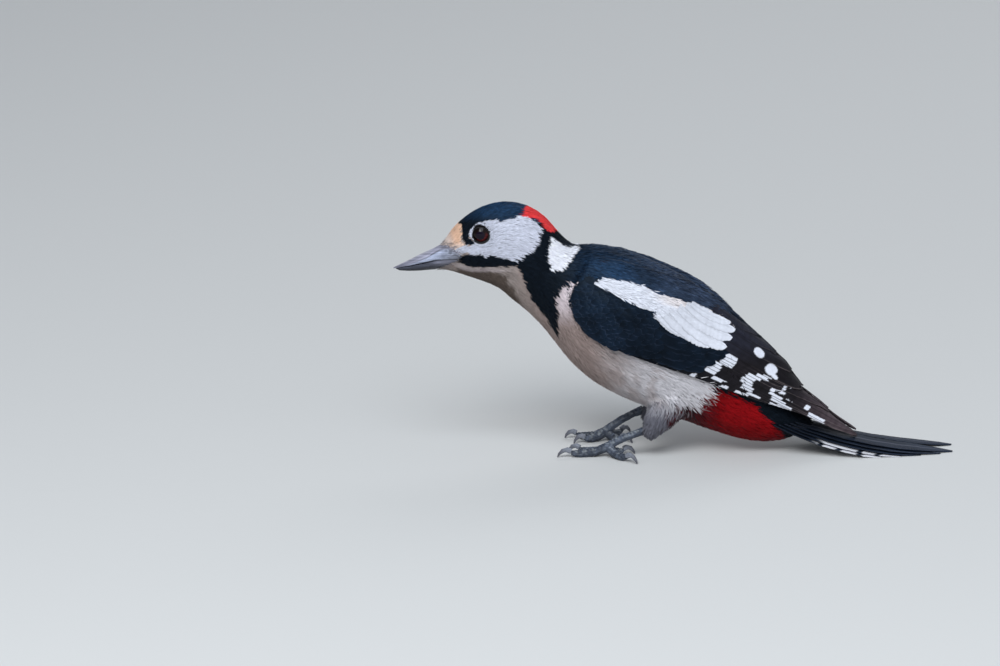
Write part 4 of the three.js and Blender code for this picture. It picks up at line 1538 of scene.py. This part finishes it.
def make_eyes():
    """Each eyeball is a fine globe with a bulging cornea; iris and pupil are painted on it, the iris with
    painted shade towards its top and the pupil with a faint painted reflection of the sky.
    """
    polar = np.linspace(0.02, math.pi - 0.02, 65)[:, None]
    turn = np.linspace(0, 2 * math.pi, 96, endpoint=False)[None]
    flat = np.sin(polar)
    out = np.stack([flat * np.sin(turn), flat * np.cos(turn), np.cos(polar) * np.ones_like(turn)], -1)
    for side_name, side in SIDES.items():
        centre, axis, across, above = eye_frame(side)
        from_axis = np.arccos(np.clip(out @ axis, -1, 1))
        bulge = 1 + 0.03 * ease(0.75, 0.2, from_axis)
        rings_of_points = centre + out * (EYE_RADIUS * 0.985 * bulge)[..., None]
        width = np.sin(from_axis) * EYE_RADIUS
        rays = mottle(np.stack([out @ across, out @ above, 0 * width], -1) / (flat[..., None] + 0.1), 0.2, 8)
        # Painted shade of the brow: the iris darkens towards its top.
        shaded = 0.05 + 0.95 * ease(0.10, -0.50, out @ (above + 0.7 * unit(across * [-1, 0, 0])))
        iris = blend(IRIS, IRIS_RIM, ease(2.2, 3.2, width)) * ((1 + 0.3 * rays) * shaded)[..., None]
        colour = blend(PUPIL_BLACK_VIOLET_SHEEN, iris, ease(PUPIL - 0.12, PUPIL + 0.12, width))
        points, faces = closed_tube(rings_of_points)
        colours = np.concatenate([colour.reshape(-1, 3), np.full((2, 3), 0.01)])
        make_shell(f"eyeball_{side_name}", points, faces, colours, [EYEBALL], [f"eye_{side_name}"])


FOOT_DARK, FOOT_GREY, FOOT_PALE = (0.048, 0.058, 0.082), (0.094, 0.112, 0.150), (0.24, 0.26, 0.28)
LATTICE = np.array([[5.2, 2.1, 3.3], [-2.4, 5.0, 3.6], [1.2, 3.0, -5.4]])  # waves that make the pebbles


def from_knuckle(points, side_name, side):
    """Distance from the knuckle along the nearest toe, or up the tarsus."""
    ends = [np.array([3.0, side * 11.8, 12.0])]
    for toe in TOES:
        ends.append(node_middle(f"claw_{toe}_{side_name}") - SHIFT)
        ends[-1][2] = 1.4
    starts = [KNUCKLE * [1, side, 1]] * len(ends)
    return nearest_line(points, starts, ends)[1]


def meet_claws(points, side_name, side):
    """Draws the end of each toe in towards the root of its claw."""
    knuckle = KNUCKLE * [1, side, 1]
    for toe in TOES:
        claw = node_points(f"claw_{toe}_{side_name}")
        reach = np.linalg.norm((claw - knuckle)[:, :2], axis=1)
        base = claw[reach < reach.min() + 1.2].mean(0)
        line = unit((base - knuckle) * [1, 1, 0])
        beyond = (points - base) @ line
        near = np.linalg.norm((points - base)[:, :2] - beyond[:, None] * line[:2], axis=1) < 2.6
        pull = 0.5 * ease(-3.0, 1.2, beyond) * near * ease(4.8, 4.0, points[:, 2])
        target = base + beyond[:, None] * line * 0.8
        points = points + (target - points) * pull[:, None]
    return points


def make_foot(side_name, side):
    """Tarsus and toes with a row of scutes along the top of each and small scales elsewhere."""
    name = f"foot_{side_name}"
    surface = Surface([name], grow=0, voxel=0.21, rounds=5)
    distance = from_knuckle(surface.points, side_name, side)
    points = meet_claws(surface.points, side_name, side)
    cell = np.mod((distance + 0.22 * mottle(points, 2.2, 4)) / 1.35, 1.0)
    gap = bell(np.minimum(cell, 1 - cell), 0.10)
    facing = ease(-0.1, 0.6, surface.normals[:, 2])
    scute = facing * (0.10 * np.sqrt(np.clip(4 * cell * (1 - cell), 0, 1)) - 0.12 * gap)
    lattice = np.abs(np.sin(points @ LATTICE.T).prod(1))
    pebble = 0.10 * lattice**0.6 * (1 - facing)
    wear = 0.05 * mottle(points, 1.6, 3)
    moved = points + surface.normals * (scute + pebble + wear - 0.03)[:, None]
    moved[:, 2] = np.maximum(moved[:, 2], 0)
    tone = 1 - 0.55 * gap * facing - 0.35 * (1 - facing) * (1 - lattice**0.5)
    tone = tone * (1 + 0.15 * mottle(points, 0.8, 9))
    colour = blend(FOOT_DARK, FOOT_GREY, ease(-0.5, 0.8, mottle(points, 2.6, 2)))
    colour = blend(colour, FOOT_PALE, 0.6 * ease(0.1, 0.8, mottle(points, 1.1, 6)) * facing)
    colours = colour * tone[:, None]
    make_shell(f"skin_{name}", moved, triangles(surface.faces), colours, [SCALE], [name])


CLAW_ROOT, CLAW_TIP = (0.20, 0.215, 0.255), (0.10, 0.10, 0.12)


def make_claw(toe, side_name, side):
    name = f"claw_{toe}_{side_name}"
    surface = Surface([name], grow=0, voxel=0.14, rounds=36)
    points = surface.points
    points[:, 2] = np.maximum(points[:, 2], 0)
    reach = np.linalg.norm((points - KNUCKLE * [1, side, 1])[:, :2], axis=1)
    share = (reach - reach.min()) / (reach.max() - reach.min())
    colour = blend(CLAW_ROOT, CLAW_TIP, ease(0.3, 1.0, share)) * (1 + 0.1 * mottle(points, 1.0, 5))[:, None]
    make_shell(f"horn_{name}", points, triangles(surface.faces), colour, [HORN], [name])


# ---- floor, light and camera


def make_floor():
    mesh = bpy.data.meshes.new("floor")
    size = 3.0  # from the middle to each edge, in metres
    corners = [(-size, -size, 0), (size, -size, 0), (size, size, 0), (-size, size, 0)]
    mesh.from_pydata(corners, [], [(0, 1, 2, 3)])
    material = bpy.data.materials.new("floor")
    material.use_nodes = True
    shader = material.node_tree.nodes["Principled BSDF"]
    shader.inputs["Base Color"].default_value = (0.62, 0.62, 0.61, 1)
    shader.inputs["Roughness"].default_value = 0.9
    mesh.materials.append(material)
    floor = bpy.data.objects.new("floor", mesh)
    bpy.context.collection.objects.link(floor)


def area_light(name, place, aim, size, power, colour):
    light = bpy.data.lights.new(name, "AREA")
    light.shape = "DISK"
    light.size = size
    light.energy = power
    light.color = colour
    lamp = bpy.data.objects.new(name, light)
    lamp.location = place
    lamp.rotation_euler = (Vector(aim) - Vector(place)).to_track_quat("-Z", "Y").to_euler()
    bpy.context.collection.objects.link(lamp)


def make_light():
    aim = (0, 0, 0.05)
    area_light("key", (-0.5, -1.2, 1.2), aim, size=0.8, power=9, colour=(1.0, 0.99, 0.97))
    area_light("softbox", (-0.1, -1.1, 1.5), aim, size=1.5, power=22, colour=(0.86, 0.93, 1.0))
    area_light("fill", (1.1, -1.2, 0.5), aim, size=2.2, power=5, colour=(0.93, 0.96, 1.0))
    area_light("rim", (0.4, 1.0, 0.9), aim, size=0.8, power=3, colour=(0.95, 0.97, 1.0))
    world = bpy.data.worlds.new("sky")
    world.use_nodes = True
    world.node_tree.nodes["Background"].inputs["Color"].default_value = (0.80, 0.86, 0.95, 1)
    world.node_tree.nodes["Background"].inputs["Strength"].default_value = 0.36
    bpy.context.scene.world = world


CAMERA_AIM = np.array([-57.14, 12.2, 45.5])
CAMERA_REACH = 4000.0
CAMERA_HEIGHT = math.radians(15)  # how far above the floor's level it looks down from
CAMERA_LENS = 352.8


def make_camera():
    camera = bpy.data.cameras.new("camera")
    camera.lens = CAMERA_LENS
    camera.sensor_width = 36
    camera.clip_end = 20
    viewer = bpy.data.objects.new("camera", camera)
    aim = Vector((CAMERA_AIM + SHIFT) * MM)
    back = Vector((0, -math.cos(CAMERA_HEIGHT), math.sin(CAMERA_HEIGHT)))
    viewer.location = aim + back * CAMERA_REACH * MM
    viewer.rotation_euler = (-back).to_track_quat("-Z", "Y").to_euler()
    bpy.context.collection.objects.link(viewer)
    bpy.context.scene.camera = viewer


# ---- the whole bird


def main():
    make_camera()
    make_light()
    make_floor()
    wing_nodes = [f"{part}_{side_name}" for side_name in SIDES for part in WING]
    form = Surface(FLESH + wing_nodes + ["eye_left", "eye_right"], grow=0.3, voxel=0.65, rounds=10)
    make_skin(Surface(FLESH, grow=0.3, voxel=0.9, rounds=8), form)
    wings = {}
    for side_name, side in SIDES.items():
        nodes = [f"{part}_{side_name}" for part in WING]
        wings[side_name] = Surface(nodes, grow=0.2, voxel=0.75, rounds=5)
        make_wing_bed(f"wing_bed_{side_name}", wings[side_name], nodes)
    make_coats(form, wings)
    for side_name, side in SIDES.items():
        make_flight(form, side_name, side)
        make_coverts(form, side_name, side)
        make_scapulars(form, side_name, side)
        make_scapular_coat(form, side_name, side)
        for number in range(1, 6):
            make_tail_feather(number, side_name, side)
        make_foot(side_name, side)
        for toe in TOES:
            make_claw(toe, side_name, side)
    make_bill()
    face = Surface(["head", "bill_upper", "bill_lower"], grow=0.25, voxel=0.35, rounds=6)
    make_gape(face)
    make_bristles(face)
    make_eyes()
    bpy.context.scene.view_settings.view_transform = "Standard"


main()
